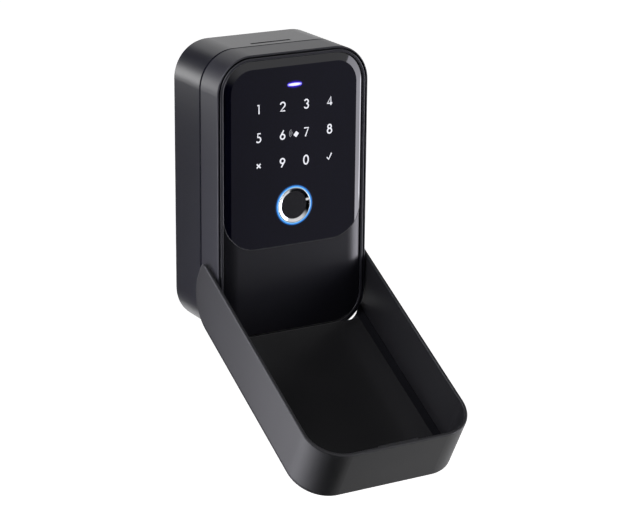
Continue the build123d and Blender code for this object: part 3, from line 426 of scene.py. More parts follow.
def die_cast_zinc():
    """Die-cast zinc latch, left bare: soft grey with shallow flow marks of about 4 mm."""
    return grained_finish("die_cast_zinc", 4, 4.0, ("#8d8f92", "#a6a8aa"), (0.38, 0.52),
                          relief=(0.15, 0.03), metallic=1.0)


def polished_chrome_plate():
    """Bright chrome on the reader's ring: near mirror, with the faint haze of polishing."""
    return grained_finish("polished_chrome_plate", 1.5, 2.0, ("#c9cacd", "#d6d7d9"), (0.05, 0.12),
                          metallic=1.0)


def nickel_plated_spring_steel():
    """Nickel-plated spring steel of the cell contacts: warm silver, fairly bright."""
    return grained_finish("nickel_plated_spring_steel", 1.8, 2.0, ("#b3aea3", "#c8c3b8"),
                          (0.18, 0.30), metallic=1.0)


def lit_blue_diffuser():
    """Milky acrylic ring lit from behind by blue lamps: dark at its rim, clear blue over most of
    its width and paler along its inner edge where the lamps sit."""
    material, tree, place, shader = new_finish("lit_blue_diffuser")
    across = distance_from(tree, place, spot(0, GLASS_FACE, READER_AT), (1.0, 0.0, 1.0))
    inner = falling_light(tree, across, *RING_LIGHT, 1.0)
    ramp = add_node(tree, "ShaderNodeValToRGB", links={"Fac": inner})
    ramp.color_ramp.elements[0].color = paint("#021224")
    ramp.color_ramp.elements[1].color = paint("#9ad8ff")
    for position, tone in ((0.1, "#0a4f94"), (0.28, "#1277dc"), (0.7, "#2b98f2")):
        ramp.color_ramp.elements.new(position).color = paint(tone)
    lit_through(tree, shader, ramp, 1.0, "#06182c", 0.35)
    return material


def lit_white_diffuser():
    """Milky light pipe of the status bar: white in a lens shape where the lamp sits, violet at its
    rim where less light comes through."""
    material, tree, place, shader = new_finish("lit_white_diffuser")
    wide, tall = BAR_LIGHT
    oval = distance_from(tree, place, spot(0, GLASS_FACE, BAR_AT), (1 / wide, 0.0, 1 / tall))
    ramp = add_node(tree, "ShaderNodeValToRGB",
                    links={"Fac": falling_light(tree, oval, 0.55, 1.15, 1.0)})
    ramp.color_ramp.elements[0].color = paint("#4a2cff")
    ramp.color_ramp.elements[1].color = paint("#ffffff")
    ramp.color_ramp.elements[1].position = 0.8
    lit_through(tree, shader, ramp, 1.0, "#20202c", 0.4)
    return material


def screen_print(name, tones, strength, unlit):
    """Ink pressed through a mesh whose dots, drawn at 0.5 mm, let the light behind it through."""
    material, tree, place, shader = new_finish(name)
    dots = add_node(tree, "ShaderNodeTexNoise", {"Scale": 1 / (0.5 * MM), "Detail": 1.0},
                    {"Vector": place})
    ramp = add_node(tree, "ShaderNodeValToRGB", links={"Fac": dots})
    for stop, tone in zip(ramp.color_ramp.elements, tones):
        stop.color = paint(tone)
    lit_through(tree, shader, ramp, strength, unlit, 0.5)
    return material


def backlit_screen_print():
    """White screen print on the panel, lit from behind: even and slightly cool."""
    return screen_print("backlit_screen_print", ("#e2e3ee", "#fafbff"), 1.0, "#30303a")


def grey_screen_print():
    """The card mark's waves: the same print in a thinner grey ink that lets less light through."""
    return screen_print("grey_screen_print", ("#9a9aa0", "#aeaeb4"), 0.8, "#1c1c20")


def coated_sensor_face():
    """Epoxy-coated sensor: black with a soft sheen, its fine grain drawn at 0.3 mm."""
    return grained_finish("coated_sensor_face", 0.3, 2.0, ("#09090b", "#0d0d0f"), (0.20, 0.28))


def green_solder_mask():
    """Glass-epoxy board under green solder mask: copper tracks show through as paler green lines,
    on a grid of 1.5 by 0.75 mm."""
    material, tree, place, shader = new_finish("green_solder_mask")
    upright = add_node(tree, "ShaderNodeMapping", {"Rotation": (math.pi / 2, 0, 0)},
                       {"Vector": place})
    tracks = add_node(tree, "ShaderNodeTexBrick",
                      {"Scale": 1 / (3 * MM), "Mortar Size": 0.05, "Color1": paint("#0d3a22"),
                       "Color2": paint("#0b3520"), "Mortar": paint("#1c5a38")}, {"Vector": upright})
    rough = add_node(tree, "ShaderNodeMapRange", {"To Min": 0.25, "To Max": 0.40},
                     {"Value": tracks.outputs["Fac"]})
    link(tree, tracks, shader.inputs["Base Color"])
    link(tree, rough, shader.inputs["Roughness"])
    stand_up(tree, shader, tracks.outputs["Fac"], 0.3, 0.03)
    return material


def moulded_epoxy_package():
    """Chip and module bodies in dark moulded epoxy: matt, with a filler grain drawn at 0.4 mm."""
    return grained_finish("moulded_epoxy_package", 0.4, 2.0, ("#151515", "#1d1d1e"), (0.50, 0.62),
                          relief=(0.15, 0.01))


def drawn_steel_can():
    """Drawn and nickel-plated can of the motor: faint lines along the way it was drawn."""
    return grained_finish("drawn_steel_can", 0.5, 2.0, ("#a3a3a1", "#bdbdba"), (0.25, 0.40),
                          metallic=1.0, drawn=(1, 1, 0.05))


def moulded_black_nylon():
    """Black nylon bushes: waxy, with a soft cloudiness of about 3 mm."""
    return grained_finish("moulded_black_nylon", 3, 1.0, ("#19191b", "#202022"), (0.40, 0.50))


def shrunk_pvc_sleeve():
    """Plain dark blue PVC shrunk on the cells: glossy, with soft stretch marks of about 5 mm."""
    return grained_finish("shrunk_pvc_sleeve", 5, 1.0, ("#1d3a5c", "#214062"), (0.22, 0.32),
                          relief=(0.1, 0.05))


# Trees that grow what repeats or follows a path

def input_list(tree, **kinds):
    """Names a tree's inputs by their kind, and its one output."""
    sockets = {"shape": "NodeSocketGeometry", "size": "NodeSocketFloat",
               "direction": "NodeSocketVector", "finish": "NodeSocketMaterial"}
    for kind, names in kinds.items():
        for name in names:
            tree.interface.new_socket(name, in_out="INPUT", socket_type=sockets[kind])
    tree.interface.new_socket("Piece", in_out="OUTPUT", socket_type="NodeSocketGeometry")
    return add_node(tree, "NodeGroupInput").outputs


def finish_tree(tree, shape, finish):
    """Every tree ends the same way: made real, then given its finish."""
    real = add_node(tree, "GeometryNodeRealizeInstances", links={"Geometry": shape})
    dressed = add_node(tree, "GeometryNodeSetMaterial",
                       links={"Geometry": real, "Material": finish})
    add_node(tree, "NodeGroupOutput", links={"Piece": dressed})


def drawn_line_tree():
    """Draws each line as a bead of an even width; a low flatness presses it to a printed stroke."""
    tree = bpy.data.node_groups.new("drawn_line", "GeometryNodeTree")
    given = input_list(tree, shape=["Lines"], size=["Line width"], direction=["Flatness", "Move"],
                       finish=["Finish"])
    half = add_node(tree, "ShaderNodeMath", {1: 0.5}, {0: given["Line width"]},
                    operation="MULTIPLY")
    nib = add_node(tree, "GeometryNodeCurvePrimitiveCircle", {"Resolution": 10}, {"Radius": half})
    line = add_node(tree, "GeometryNodeMeshToCurve", links={"Mesh": given["Lines"]})
    tube = add_node(tree, "GeometryNodeCurveToMesh", {"Fill Caps": True},
                    {"Curve": line, "Profile Curve": nib})
    pressed = add_node(tree, "GeometryNodeTransform",
                       links={"Geometry": tube, "Scale": given["Flatness"],
                              "Translation": given["Move"]})
    finish_tree(tree, pressed, given["Finish"])
    return tree


def set_at_places(tree, places, template):
    """Puts a template on every place, turned so that its Z runs along the place's pointing."""
    pointing = add_node(tree, "GeometryNodeInputNamedAttribute", {"Name": "pointing"},
                        data_type="FLOAT_VECTOR")
    turned = add_node(tree, "FunctionNodeAlignRotationToVector", links={"Vector": pointing},
                      axis="Z")
    return add_node(tree, "GeometryNodeInstanceOnPoints",
                    links={"Points": places, "Instance": template, "Rotation": turned})


def moved_along_z(tree, shape, distance):
    offset = add_node(tree, "ShaderNodeCombineXYZ", links={"Z": distance})
    return add_node(tree, "GeometryNodeTransform",
                    links={"Geometry": shape, "Translation": offset})


def wound_up(tree, steps, sides, given, start, end, height, turns, thick):
    """A wire or ridge of a few sides that winds upwards along Z; the last five name its inputs."""
    helix = add_node(tree, "GeometryNodeCurveSpiral", {"Resolution": steps},
                     {"Rotations": given[turns], "Start Radius": given[start],
                      "End Radius": given[end], "Height": given[height]})
    section = add_node(tree, "GeometryNodeCurvePrimitiveCircle", {"Resolution": sides},
                       {"Radius": given[thick]})
    return add_node(tree, "GeometryNodeCurveToMesh", {"Fill Caps": True},
                    {"Curve": helix, "Profile Curve": section})


def chamfered_head(tree, given):
    """The two solids of a cap screw's head, whose top lies at its place: barrel and sloping rim."""
    straight = add_node(tree, "ShaderNodeMath",
                        links={0: given["Head height"], 1: given["Chamfer"]}, operation="SUBTRACT")
    barrel = add_node(tree, "GeometryNodeMeshCylinder", {"Vertices": 40},
                      {"Radius": given["Head radius"], "Depth": straight})
    half = add_node(tree, "ShaderNodeMath", {1: 0.5}, {0: straight}, operation="MULTIPLY")
    barrel_at = add_node(tree, "ShaderNodeMath",
                         links={0: half, 1: given["Head height"]}, operation="SUBTRACT")
    top_radius = add_node(tree, "ShaderNodeMath",
                          links={0: given["Head radius"], 1: given["Chamfer"]},
                          operation="SUBTRACT")
    rim = add_node(tree, "GeometryNodeMeshCone", {"Vertices": 40},
                   {"Radius Top": top_radius, "Radius Bottom": given["Head radius"],
                    "Depth": given["Chamfer"]})
    rim_at = add_node(tree, "ShaderNodeMath", {1: -1.0}, {0: given["Chamfer"]},
                      operation="MULTIPLY")
    return [moved_along_z(tree, barrel, barrel_at), moved_along_z(tree, rim, rim_at)]


def hex_socket_screw_tree():
    """A cap screw on every place: a chamfered head with a hex socket, and a threaded shank."""
    tree = bpy.data.node_groups.new("hex_socket_screws", "GeometryNodeTree")
    given = input_list(tree, shape=["Places"], finish=["Finish"], size=[
        "Head radius", "Head height", "Chamfer", "Shank radius", "Shank length", "Socket radius",
        "Socket depth", "Thread height", "Thread turns"])
    shank = add_node(tree, "GeometryNodeMeshCylinder", {"Vertices": 24},
                     {"Radius": given["Shank radius"], "Depth": given["Shank length"]})
    half_shank = add_node(tree, "ShaderNodeMath", {1: 0.5}, {0: given["Shank length"]},
                          operation="MULTIPLY")
    shank_top = add_node(tree, "ShaderNodeMath",
                         links={0: half_shank, 1: given["Head height"]}, operation="ADD")
    shank_at = add_node(tree, "ShaderNodeMath", {1: -1.0}, {0: shank_top}, operation="MULTIPLY")
    solid = add_node(tree, "GeometryNodeMeshBoolean", operation="UNION", solver="EXACT")
    for shape in (*chamfered_head(tree, given), moved_along_z(tree, shank, shank_at)):
        link(tree, shape, solid.inputs["Mesh 2"])
    socket_deep = add_node(tree, "ShaderNodeMath", {1: 2.0}, {0: given["Socket depth"]},
                           operation="MULTIPLY")
    socket = add_node(tree, "GeometryNodeMeshCylinder", {"Vertices": 6},
                      {"Radius": given["Socket radius"], "Depth": socket_deep})
    drilled = add_node(tree, "GeometryNodeMeshBoolean", links={"Mesh 1": solid, "Mesh 2": socket},
                       operation="DIFFERENCE", solver="EXACT")
    thread = wound_up(tree, 14, 3, given, "Shank radius", "Shank radius", "Shank length",
                      "Thread turns", "Thread height")
    thread_at = add_node(tree, "ShaderNodeMath", links={0: shank_at, 1: half_shank},
                         operation="SUBTRACT")
    screw = add_node(tree, "GeometryNodeJoinGeometry")
    for shape in (drilled, moved_along_z(tree, thread, thread_at)):
        link(tree, shape, screw.inputs["Geometry"])
    finish_tree(tree, set_at_places(tree, given["Places"], screw), given["Finish"])
    return tree


def wound_wire_tree():
    """A coil of round wire on every place, even or tapering: a contact spring or a thread."""
    tree = bpy.data.node_groups.new("wound_wire", "GeometryNodeTree")
    given = input_list(tree, shape=["Places"], finish=["Finish"], size=[
        "Wire radius", "Wide radius", "Small radius", "Coil height", "Turns"])
    coil = wound_up(tree, 24, 8, given, "Wide radius", "Small radius", "Coil height", "Turns",
                    "Wire radius")
    finish_tree(tree, set_at_places(tree, given["Places"], coil), given["Finish"])
    return tree


def grown(name, mesh, tree, inputs):
    """Runs a tree on a mesh and keeps the result as a plain mesh."""
    seed = add_object(name + "_seed", mesh)
    growth = seed.modifiers.new("growth", "NODES")
    growth.node_group = tree
    for socket in tree.interface.items_tree:
        if socket.in_out == "INPUT" and socket.name in inputs:
            growth[socket.identifier] = inputs[socket.name]
    bpy.context.view_layer.update()
    ready = seed.evaluated_get(bpy.context.evaluated_depsgraph_get())
    made = bpy.data.meshes.new_from_object(ready)
    made.name = name
    bpy.data.objects.remove(seed)
    return add_object(name, made)


# Screws, contact springs and the lead screw, set where their CAD solids are

def loose_solids(node):
    """The corners of each separate solid of a CAD node, found on a merged copy of its mesh."""
    shape = bmesh.new()
    shape.from_mesh(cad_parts[node].data)
    bmesh.ops.remove_doubles(shape, verts=shape.verts, dist=1e-7)
    unseen = set(shape.verts)
    solids = []
    while unseen:
        waiting = [unseen.pop()]
        found = []
        while waiting:
            vert = waiting.pop()
            found.append(vert.co.copy())
            for edge in vert.link_edges:
                other = edge.other_vert(vert)
                if other in unseen:
                    unseen.remove(other)
                    waiting.append(other)
        solids.append(found)
    shape.free()
    return solids


def wide_end(corners, axis):
    """The middle of a round solid's wider end, which way that end looks, and the solid's length."""
    low, high = (Vector([pick(c[i] for c in corners) for i in range(3)]) for pick in (min, max))
    middle = (low + high) / 2
    across = [i for i in range(3) if i != axis]
    reach = []
    for end in (low[axis], high[axis]):
        near = [c for c in corners if abs(c[axis] - end) < 0.02 * MM]
        reach.append(max(math.hypot(*(c[i] - middle[i] for i in across)) for c in near))
    side = 1 if reach[1] > reach[0] else -1
    middle[axis] = high[axis] if side > 0 else low[axis]
    looks = Vector((0.0, 0.0, 0.0))
    looks[axis] = side
    return middle, looks, high[axis] - low[axis]


def places_mesh(name, ends):
    """Points with the direction that a template's Z takes there."""
    mesh = bpy.data.meshes.new(name)
    mesh.from_pydata([middle for middle, looks, length in ends], [], [])
    pointing = mesh.attributes.new("pointing", "FLOAT_VECTOR", "POINT")
    for value, (middle, looks, length) in zip(pointing.data, ends):
        value.vector = looks
    return mesh


def put_in_place(piece, node, body):
    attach(piece, body)
    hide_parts(node)


def socket_screws(tree, node, body, axis, size, finish):
    """Redraws a node's plain screws with sockets, chamfers and threads, inside the same outline."""
    ends = [wide_end(corners, axis) for corners in loose_solids(node)]
    head_radius, head_tall, shank_radius = (value * MM for value in size)
    shank = ends[0][2] - head_tall
    ridge = RIDGE * MM
    piece = grown(node + "_socketed", places_mesh(node + "_places", ends), tree, {
        "Head radius": head_radius, "Head height": head_tall, "Chamfer": CHAMFER * MM,
        "Shank radius": shank_radius - ridge, "Shank length": shank,
        "Socket radius": head_radius * SOCKET_WIDE, "Socket depth": head_tall * SOCKET_DEEP,
        "Thread height": ridge * THREAD_FILLS, "Thread turns": max(2.0, shank / (PITCH * MM)),
        "Finish": finish})
    put_in_place(piece, node, body)


def contact_coils(tree, finish):
    """Cone springs behind the cells, wound from 0.5 mm wire in the space of the plain cones."""
    wire = SPRING_WIRE * MM
    ends = []
    for corners in loose_solids("contact_springs"):
        middle, looks, length = wide_end(corners, 2)
        ends.append((middle - looks * wire, -looks, length))
    piece = grown("wound_contact_springs", places_mesh("spring_places", ends), tree, {
        "Wire radius": wire, "Wide radius": SPRING_WIDE * MM, "Small radius": SPRING_SMALL * MM,
        "Coil height": ends[0][2] - 2 * wire, "Turns": SPRING_TURNS, "Finish": finish})
    put_in_place(piece, "contact_springs", "door")


def threaded_lead_screw(tree, finish):
    """The latch's lead screw: a core with two rounded threads of 2.5 mm lead wound along it."""
    low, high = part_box("lead_screw")
    middle = (Vector(low) + Vector(high)) / 2
    room = LEAD_ROOM * MM
    foot = low[2] + room
    half_tall = (high[2] - low[2]) / 2 - room
    radius = (high[0] - low[0]) / 2 - room
    ridge = LEAD_RIDGE * MM
    screw = bmesh.new()
    bmesh.ops.create_cone(screw, cap_ends=True, segments=32, radius1=radius - ridge,
                          radius2=radius - ridge, depth=2 * half_tall,
                          matrix=Matrix.Translation(middle))
    start = Vector((middle.x, middle.y, foot + ridge))
    to_start = Matrix.Translation(start)
    for number in (0, 1):
        place = places_mesh("thread_start", [(start, Vector((0, 0, 1)), 0)])
        thread = grown("thread_%d" % number, place, tree, {
            "Wire radius": ridge * THREAD_FILLS, "Wide radius": radius - ridge,
            "Small radius": radius - ridge, "Coil height": 2 * half_tall - 2 * ridge,
            "Turns": 2 * half_tall / (LEAD * MM), "Finish": finish})
        half_turns = Matrix.Rotation(number * math.pi, 4, "Z")
        thread.data.transform(to_start @ half_turns @ to_start.inverted())
        screw.from_mesh(thread.data)
        bpy.data.objects.remove(thread)
    mesh = bpy.data.meshes.new("threaded_lead_screw")
    screw.to_mesh(mesh)
    screw.free()
    mesh.materials.append(finish)
    for face in mesh.polygons:
        face.use_smooth = True
        face.material_index = 0
    put_in_place(add_object("threaded_lead_screw", mesh), "lead_screw", "screw")


# What is printed on the touch panel, and its polished edge

def arc(cx, cy, radius, start, end, ry=None, steps=18):
    ry = radius if ry is None else ry
    turns = [math.radians(start + (end - start) * i / steps) for i in range(steps + 1)]
    return [(cx + radius * math.cos(t), cy + ry * math.sin(t)) for t in turns]


def key_strokes():
    """Pen strokes of each key mark, in a box one unit tall; v is the tick and x the cross."""
    six = [arc(0, 0.30, 0.25, 0, 360, steps=30), [(-0.225, 0.40), (0.13, 0.97)]]
    return {
        "0": [arc(0, 0.5, 0.27, 0, 360, ry=0.46, steps=36)],
        "1": [[(-0.15, 0.93), (0.03, 0.93), (0.03, 0.03)]],
        "2": [arc(0, 0.68, 0.27, 170, -38) + [(-0.25, 0.05), (0.28, 0.05)]],
        "3": [arc(-0.01, 0.735, 0.215, 160, -90) + arc(-0.01, 0.28, 0.24, 90, -160)],
        "4": [[(0.12, 0.04), (0.12, 0.93), (-0.29, 0.25), (0.28, 0.25)]],
        "5": [[(0.22, 0.94), (-0.1, 0.94)] + arc(-0.04, 0.31, 0.27, 108, -145)],
        "6": six,
        "7": [[(-0.25, 0.93), (0.26, 0.93), (-0.1, 0.03)]],
        "8": [arc(0, 0.745, 0.2, 0, 360, steps=26), arc(0, 0.29, 0.25, 0, 360, steps=30)],
        "9": [[(-x, 1 - y) for x, y in stroke] for stroke in six],
        "x": [[(-0.22, 0.28), (0.22, 0.72)], [(-0.22, 0.72), (0.22, 0.28)]],
        "v": [[(-0.28, 0.44), (-0.06, 0.2), (0.27, 0.86)]],
    }


def lines_mesh(name, strokes):
    """Lines through points of x, depth and height in mm."""
    points, edges = [], []
    for stroke in strokes:
        first = len(points)
        closed = (Vector(stroke[0]) - Vector(stroke[-1])).length < 1e-6
        kept = stroke[:-1] if closed else stroke
        points += [spot(*point) for point in kept]
        edges += [(first + i, first + i + 1) for i in range(len(kept) - 1)]
        if closed:
            edges.append((first + len(kept) - 1, first))
    mesh = bpy.data.meshes.new(name)
    mesh.from_pydata(points, edges, [])
    return mesh


def printed(name, strokes, width, line_tree, ink):
    """Presses strokes given in x and height flat onto the panel's face."""
    lines = lines_mesh(name + "_lines",
                       [[(x, 0.0, height) for x, height in stroke] for stroke in strokes])
    piece = grown(name, lines, line_tree, {
        "Line width": width * MM, "Flatness": (1.0, INK_FLATNESS, 1.0),
        "Move": (0.0, -(GLASS_FACE + INK_LIFT) * MM, 0.0), "Finish": ink})
    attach(piece, "door")


def key_prints(line_tree, ink):
    strokes_of = key_strokes()
    strokes = []
    for row, marks in zip(KEY_ROWS, KEY_LAYOUT):
        for column, mark in zip(KEY_COLUMNS, marks):
            low = row - DIGIT_TALL / 2
            for stroke in strokes_of[mark]:
                strokes.append([(column + x * DIGIT_TALL, low + y * DIGIT_TALL) for x, y in stroke])
    printed("key_prints", strokes, STROKE_WIDE, line_tree, ink)


def card_mark(line_tree, ink, grey_ink):
    """A plain tilted card beside a fan of waves: says that a tag may be shown here."""
    row = KEY_ROWS[1]
    waves_x, waves_up = WAVES_AT
    waves = [arc(waves_x, row + waves_up, radius, *WAVE_FAN, ry=radius * 1.1, steps=10)
             for radius in WAVE_RADII]
    printed("card_waves", waves, WAVE_WIDE, line_tree, grey_ink)
    turn = math.radians(CARD_TILT)
    round_x, round_z = (half - CARD_CORNER for half in CARD_HALF)
    outline = []
    for side_x, side_z, start in ((1, 1, 0), (-1, 1, 90), (-1, -1, 180), (1, -1, 270)):
        outline += arc(side_x * round_x, side_z * round_z, CARD_CORNER, start, start + 90, steps=4)
    card_x, card_up = CARD_AT
    face = [spot(card_x + x * math.cos(turn) - z * math.sin(turn), GLASS_FACE + INK_LIFT,
                 row + card_up + x * math.sin(turn) + z * math.cos(turn)) for x, z in outline]
    mesh = bpy.data.meshes.new("card_print")
    mesh.from_pydata(face, [], [tuple(range(len(face)))])
    mesh.materials.append(ink)
    card = add_object("card_print", mesh)
    film = card.modifiers.new("ink_film", "SOLIDIFY")
    film.thickness = INK_THICK * MM
    film.offset = 0.0
    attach(card, "door")


def panel_edge_bead(line_tree, finish):
    """The touch panel's fine polished edge: round its foot, up its sides and over its top."""
    foot_x, foot_up = PANEL_HALF - GLASS_CORNER, GLASS_LOW + GLASS_CORNER
    head_x = PANEL_HALF - PANEL_CORNER
    head_up = BODY_TALL - (BODY_HALF - PANEL_HALF) - PANEL_CORNER
    head_round = PANEL_CORNER - EDGE_IN
    foot = (arc(-foot_x, foot_up, GLASS_CORNER, 182, 270, steps=24)
            + arc(foot_x, foot_up, GLASS_CORNER, 270, 358, steps=24))
    head = (arc(head_x, head_up, head_round, 0, 90, steps=16)
            + arc(-head_x, head_up, head_round, 90, 180, steps=16))
    depth = GLASS_FACE - EDGE_SUNK
    stroke = [(x, depth - max(0.0, abs(x) - FLAT_HALF) * BAND_FALL, height) for x, height in foot]
    stroke += [(x, depth - BAND_DROP, height) for x, height in head]
    stroke.append(stroke[0])
    piece = grown("panel_edge_bead", lines_mesh("edge_line", [stroke]), line_tree, {
        "Line width": EDGE_WIDE * MM, "Flatness": (1.0, 1.0, 1.0), "Move": (0.0, 0.0, 0.0),
        "Finish": finish})
    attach(piece, "door")


# Camera at the photograph's angle, and the studio

def look_through_camera():
    azimuth, elevation, roll = (math.radians(turn) for turn in CAMERA_TURNS)
    ahead = Vector((-math.sin(azimuth) * math.cos(elevation),
                    math.cos(azimuth) * math.cos(elevation), -math.sin(elevation)))
    right = Vector((math.cos(azimuth), math.sin(azimuth), 0))
    up = right.cross(ahead)
    turned_right = right * math.cos(roll) + up * math.sin(roll)
    turned_up = up * math.cos(roll) - right * math.sin(roll)
    lens = bpy.data.cameras.new("product_camera")
    lens.sensor_width = 36.0
    lens.lens = CAMERA_LENS
    lens.clip_start = 0.05
    camera = add_object("product_camera", lens)
    camera.matrix_world = Matrix.Translation(CAMERA_AT) @ Matrix(
        (turned_right, turned_up, -ahead)).transposed().to_4x4()
    bpy.context.scene.camera = camera


def soft_box(name, at, aim, wide, tall, power):
    lamp = bpy.data.lights.new(name, "AREA")
    lamp.shape = "RECTANGLE"
    lamp.size = wide
    lamp.size_y = tall
    lamp.energy = power
    holder = add_object(name, lamp)
    holder.location = at
    holder.rotation_euler = (Vector(aim) - Vector(at)).to_track_quat("-Z", "Y").to_euler()
    holder.visible_glossy = False


def seen_directly(tree):
    """One where the camera, a mirror or a ray through glass meets the surface, else nothing."""
    rays = add_node(tree, "ShaderNodeLightPath").outputs
    first = add_node(tree, "ShaderNodeMath",
                     links={0: rays["Is Camera Ray"], 1: rays["Is Glossy Ray"]},
                     operation="MAXIMUM")
    return add_node(tree, "ShaderNodeMath", links={0: first, 1: rays["Is Transmission Ray"]},
                    operation="MAXIMUM")


def stage_board(name, corners, material):
    mesh = bpy.data.meshes.new(name)
    mesh.from_pydata(corners, [], [(0, 1, 2, 3)])
    mesh.materials.append(material)
    board = add_object(name, mesh)
    return board


def pale_floor():
    """White paper under the object, lifted to white where it is seen, which keeps the shadow."""
    material = bpy.data.materials.new("white_paper_sweep")
    tree = blank_nodes(material)
    paper = add_node(tree, "ShaderNodeBsdfDiffuse", {"Color": paint("#f0f0f0")})
    lift = add_node(tree, "ShaderNodeMath", {1: FLOOR_LIFT}, {0: seen_directly(tree)},
                    operation="MULTIPLY")
    white = add_node(tree, "ShaderNodeEmission", {"Color": paint("#ffffff")}, {"Strength": lift})
    both = add_node(tree, "ShaderNodeAddShader", links={0: paper, 1: white})
    add_node(tree, "ShaderNodeOutputMaterial", links={"Surface": both})
    sides = (-FLOOR_REACH, FLOOR_REACH)
    stage_board("studio_floor", level_board(FLOOR_AT, *sides, *sides), material)


def white_room():
    """The room lights the object dimly, and is white where it is seen or mirrored."""
    world = bpy.data.worlds.new("studio_room")
    tree = blank_nodes(world)
    strength = add_node(tree, "ShaderNodeMapRange", {"To Min": ROOM_LIGHT, "To Max": 1.0},
                        {"Value": seen_directly(tree)})
    room = add_node(tree, "ShaderNodeBackground", {"Color": paint("#ffffff")},
                    {"Strength": strength})
    add_node(tree, "ShaderNodeOutputWorld", links={"Surface": room})
    bpy.context.scene.world = world


def mirrored_card(name, corners, axis, near, far, near_tone, far_tone, colour="#ffffff"):
    """A card that only reflections see, graded along one axis between two levels of light."""
    material = bpy.data.materials.new(name)
    tree = blank_nodes(material)
    place = add_node(tree, "ShaderNodeTexCoord").outputs["Object"]
    along = add_node(tree, "ShaderNodeSeparateXYZ", links={"Vector": place})
    tone = add_node(tree, "ShaderNodeMapRange",
                    {"From Min": near, "From Max": far, "To Min": near_tone, "To Max": far_tone},
                    {"Value": along.outputs[axis]}, interpolation_type="SMOOTHSTEP")
    card = add_node(tree, "ShaderNodeEmission", {"Color": paint(colour)}, {"Strength": tone})
    add_node(tree, "ShaderNodeOutputMaterial", links={"Surface": card})
    board = stage_board(name, corners, material)
    for ray in ("camera", "diffuse", "shadow", "transmission"):
        setattr(board, "visible_" + ray, False)


def level_board(z, x_left, x_right, y_near, y_far):
    return [(x_left, y_near, z), (x_right, y_near, z), (x_right, y_far, z), (x_left, y_far, z)]


def upright_board(start, end, low, high):
    """A wall from one place on the floor plan to another, between two heights."""
    return [(*start, low), (*end, low), (*end, high), (*start, high)]


def studio_lights():
    """Three soft boxes light the object. Only reflections see the cards and flags, which shape
    them: a flag is dark, a card is bright, and each is graded along one axis."""
    soft_box("overhead_box", (-0.4, -0.4, 1.25), (0, -0.05, 0), 0.9, 0.9, 6.0)
    soft_box("right_box", (1.20, -0.64, -0.30), (0, -0.06, 0), 0.5, 0.5, 2.5)
    soft_box("left_box", (-1.3, -0.2, 0.4), (0, -0.05, 0), 0.8, 1.0, 7.0)
    for name, corners, *graded in (
            ("front_flag", upright_board((-1.2, FRONT_AT), (1.6, FRONT_AT), BOARD_FOOT, 0.0),
             "X", 0.3, 0.75, 0.0, 0.34, "#e8e6ff"),
            ("front_top_card", upright_board((-1.2, FRONT_AT), (1.0, FRONT_AT), 0.0, 0.5),
             "Z", 0.0, 0.5, 0.0, 1.0),
            ("overhead_flag", level_board(1.0, -0.3, 2.0, -0.7, 1.2), "Y", -0.6, 0.0, 1.0, 0.0),
            ("low_flag", level_board(-0.605, -0.2, 0.9, -1.29, 0.1), "X", 0.05, 0.32, 0.0, 1.0),
            ("rear_left_card", upright_board((-0.95, 0.75), (-0.05, 1.29), BOARD_FOOT, 1.6),
             "Z", 0.08, 0.34, 4.2, 0.0),
            ("near_left_flag", upright_board((-0.16, -0.45), (-0.16, -0.12), -0.60, 0.03),
             "Y", -1.0, 1.0, 0.0, 0.0),
            ("near_left_card", upright_board((-0.16, -0.12), (-0.16, 0.9), -0.60, 0.03),
             "Y", -0.06, 0.12, 4.7, 0.0, "#f8f7ff"),
            ("left_card", upright_board((-1.15, -0.75), (-1.15, 0.8), -0.6, 1.6),
             "Z", 0.25, 0.6, 0.0, 6.5, "#f6f4ff"),
            ("right_card", upright_board((1.15, -1.1), (1.15, -0.3), BOARD_FOOT, 0.35),
             "Z", -0.42, -0.28, 7.6, 5.2, "#f6f4ff")):
        mirrored_card(name, corners, *graded)


# Finishes put on the CAD nodes

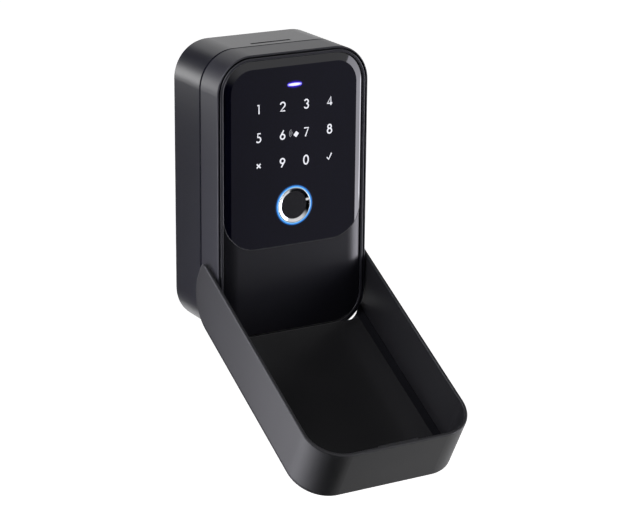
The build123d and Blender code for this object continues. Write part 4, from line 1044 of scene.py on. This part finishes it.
def dress_cad(zinc, nickel, bar_steel):
    """Puts on every CAD node the finish of its material and making."""
    housing_coat = satin_powder_coat_on_zinc("satin_powder_coat_on_housing", (0.28, 0.37))
    door_coat = satin_powder_coat_on_zinc("satin_powder_coat_on_door", (0.37, 0.46))
    for finish, nodes in (
            (housing_coat, ["rear_housing"]),
            (door_coat, ["door_frame"]),
            (satin_sprayed_bezel(), ["front_bezel"]),
            (smoked_hard_coated_panel(), ["touch_panel"]),
            (satin_moulded_lower_panel(), ["lower_panel"]),
            (matt_moulded_abs(), ["door_back_plate", "battery_tray", "battery_lid"]),
            (spark_textured_abs(), ["weather_cover"]),
            (rolled_pet_sheet(), ["cover_liner"]),
            (extruded_epdm_seal(), ["door_seal"]),
            (zinc, ["strike_plate", "strike_screws", "hook_strip", "hook_screws", "usb_port",
                    "board_screws", "plate_screws", "motor_clamp", "clamp_screws",
                    "battery_lid_screw"]),
            (bar_steel, ["hinge_pin", "lead_screw"]),
            (die_cast_zinc(), ["latch_bolt"]),
            (lit_white_diffuser(), ["led_bar"]),
            (lit_blue_diffuser(), ["led_ring"]),
            (polished_chrome_plate(), ["chrome_ring"]),
            (coated_sensor_face(), ["sensor_disc"]),
            (moulded_epoxy_package(), ["reader_module", "board_parts"]),
            (green_solder_mask(), ["main_board"]),
            (drawn_steel_can(), ["gear_motor"]),
            (moulded_black_nylon(), ["cover_bushes"]),
            (shrunk_pvc_sleeve(), ["aaa_cell_1", "aaa_cell_2", "aaa_cell_3", "aaa_cell_4"]),
            (nickel, ["contact_plates", "contact_springs"])):
        for node in nodes:
            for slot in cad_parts[node].material_slots:
                slot.material = finish


def fit_small_metal(zinc, nickel, bar_steel):
    """Redraws small metal. A screw's size: its head's radius and height, its shank's radius."""
    screws = hex_socket_screw_tree()
    m3, m2 = (2.7, 1.4, 1.5), (1.9, 1.1, 1.0)
    for node, body, axis, size in (("plate_screws", "door", 1, m3), ("board_screws", "door", 1, m2),
                                   ("strike_screws", "housing", 2, m3),
                                   ("hook_screws", "housing", 1, m2)):
        socket_screws(screws, node, body, axis, size, zinc)
    wire = wound_wire_tree()
    contact_coils(wire, nickel)
    threaded_lead_screw(wire, bar_steel)


def main():
    look_through_camera()
    small_metal = (clear_zinc_plated_steel(), nickel_plated_spring_steel(), ground_stainless_pin())
    dress_cad(*small_metal)
    fit_small_metal(*small_metal)
    line_tree = drawn_line_tree()
    white_ink = backlit_screen_print()
    key_prints(line_tree, white_ink)
    card_mark(line_tree, white_ink, grey_screen_print())
    panel_edge_bead(line_tree, painted_highlight_panel_edge())
    white_room()
    studio_lights()
    pale_floor()
    bpy.context.scene.view_settings.view_transform = "Standard"


main()
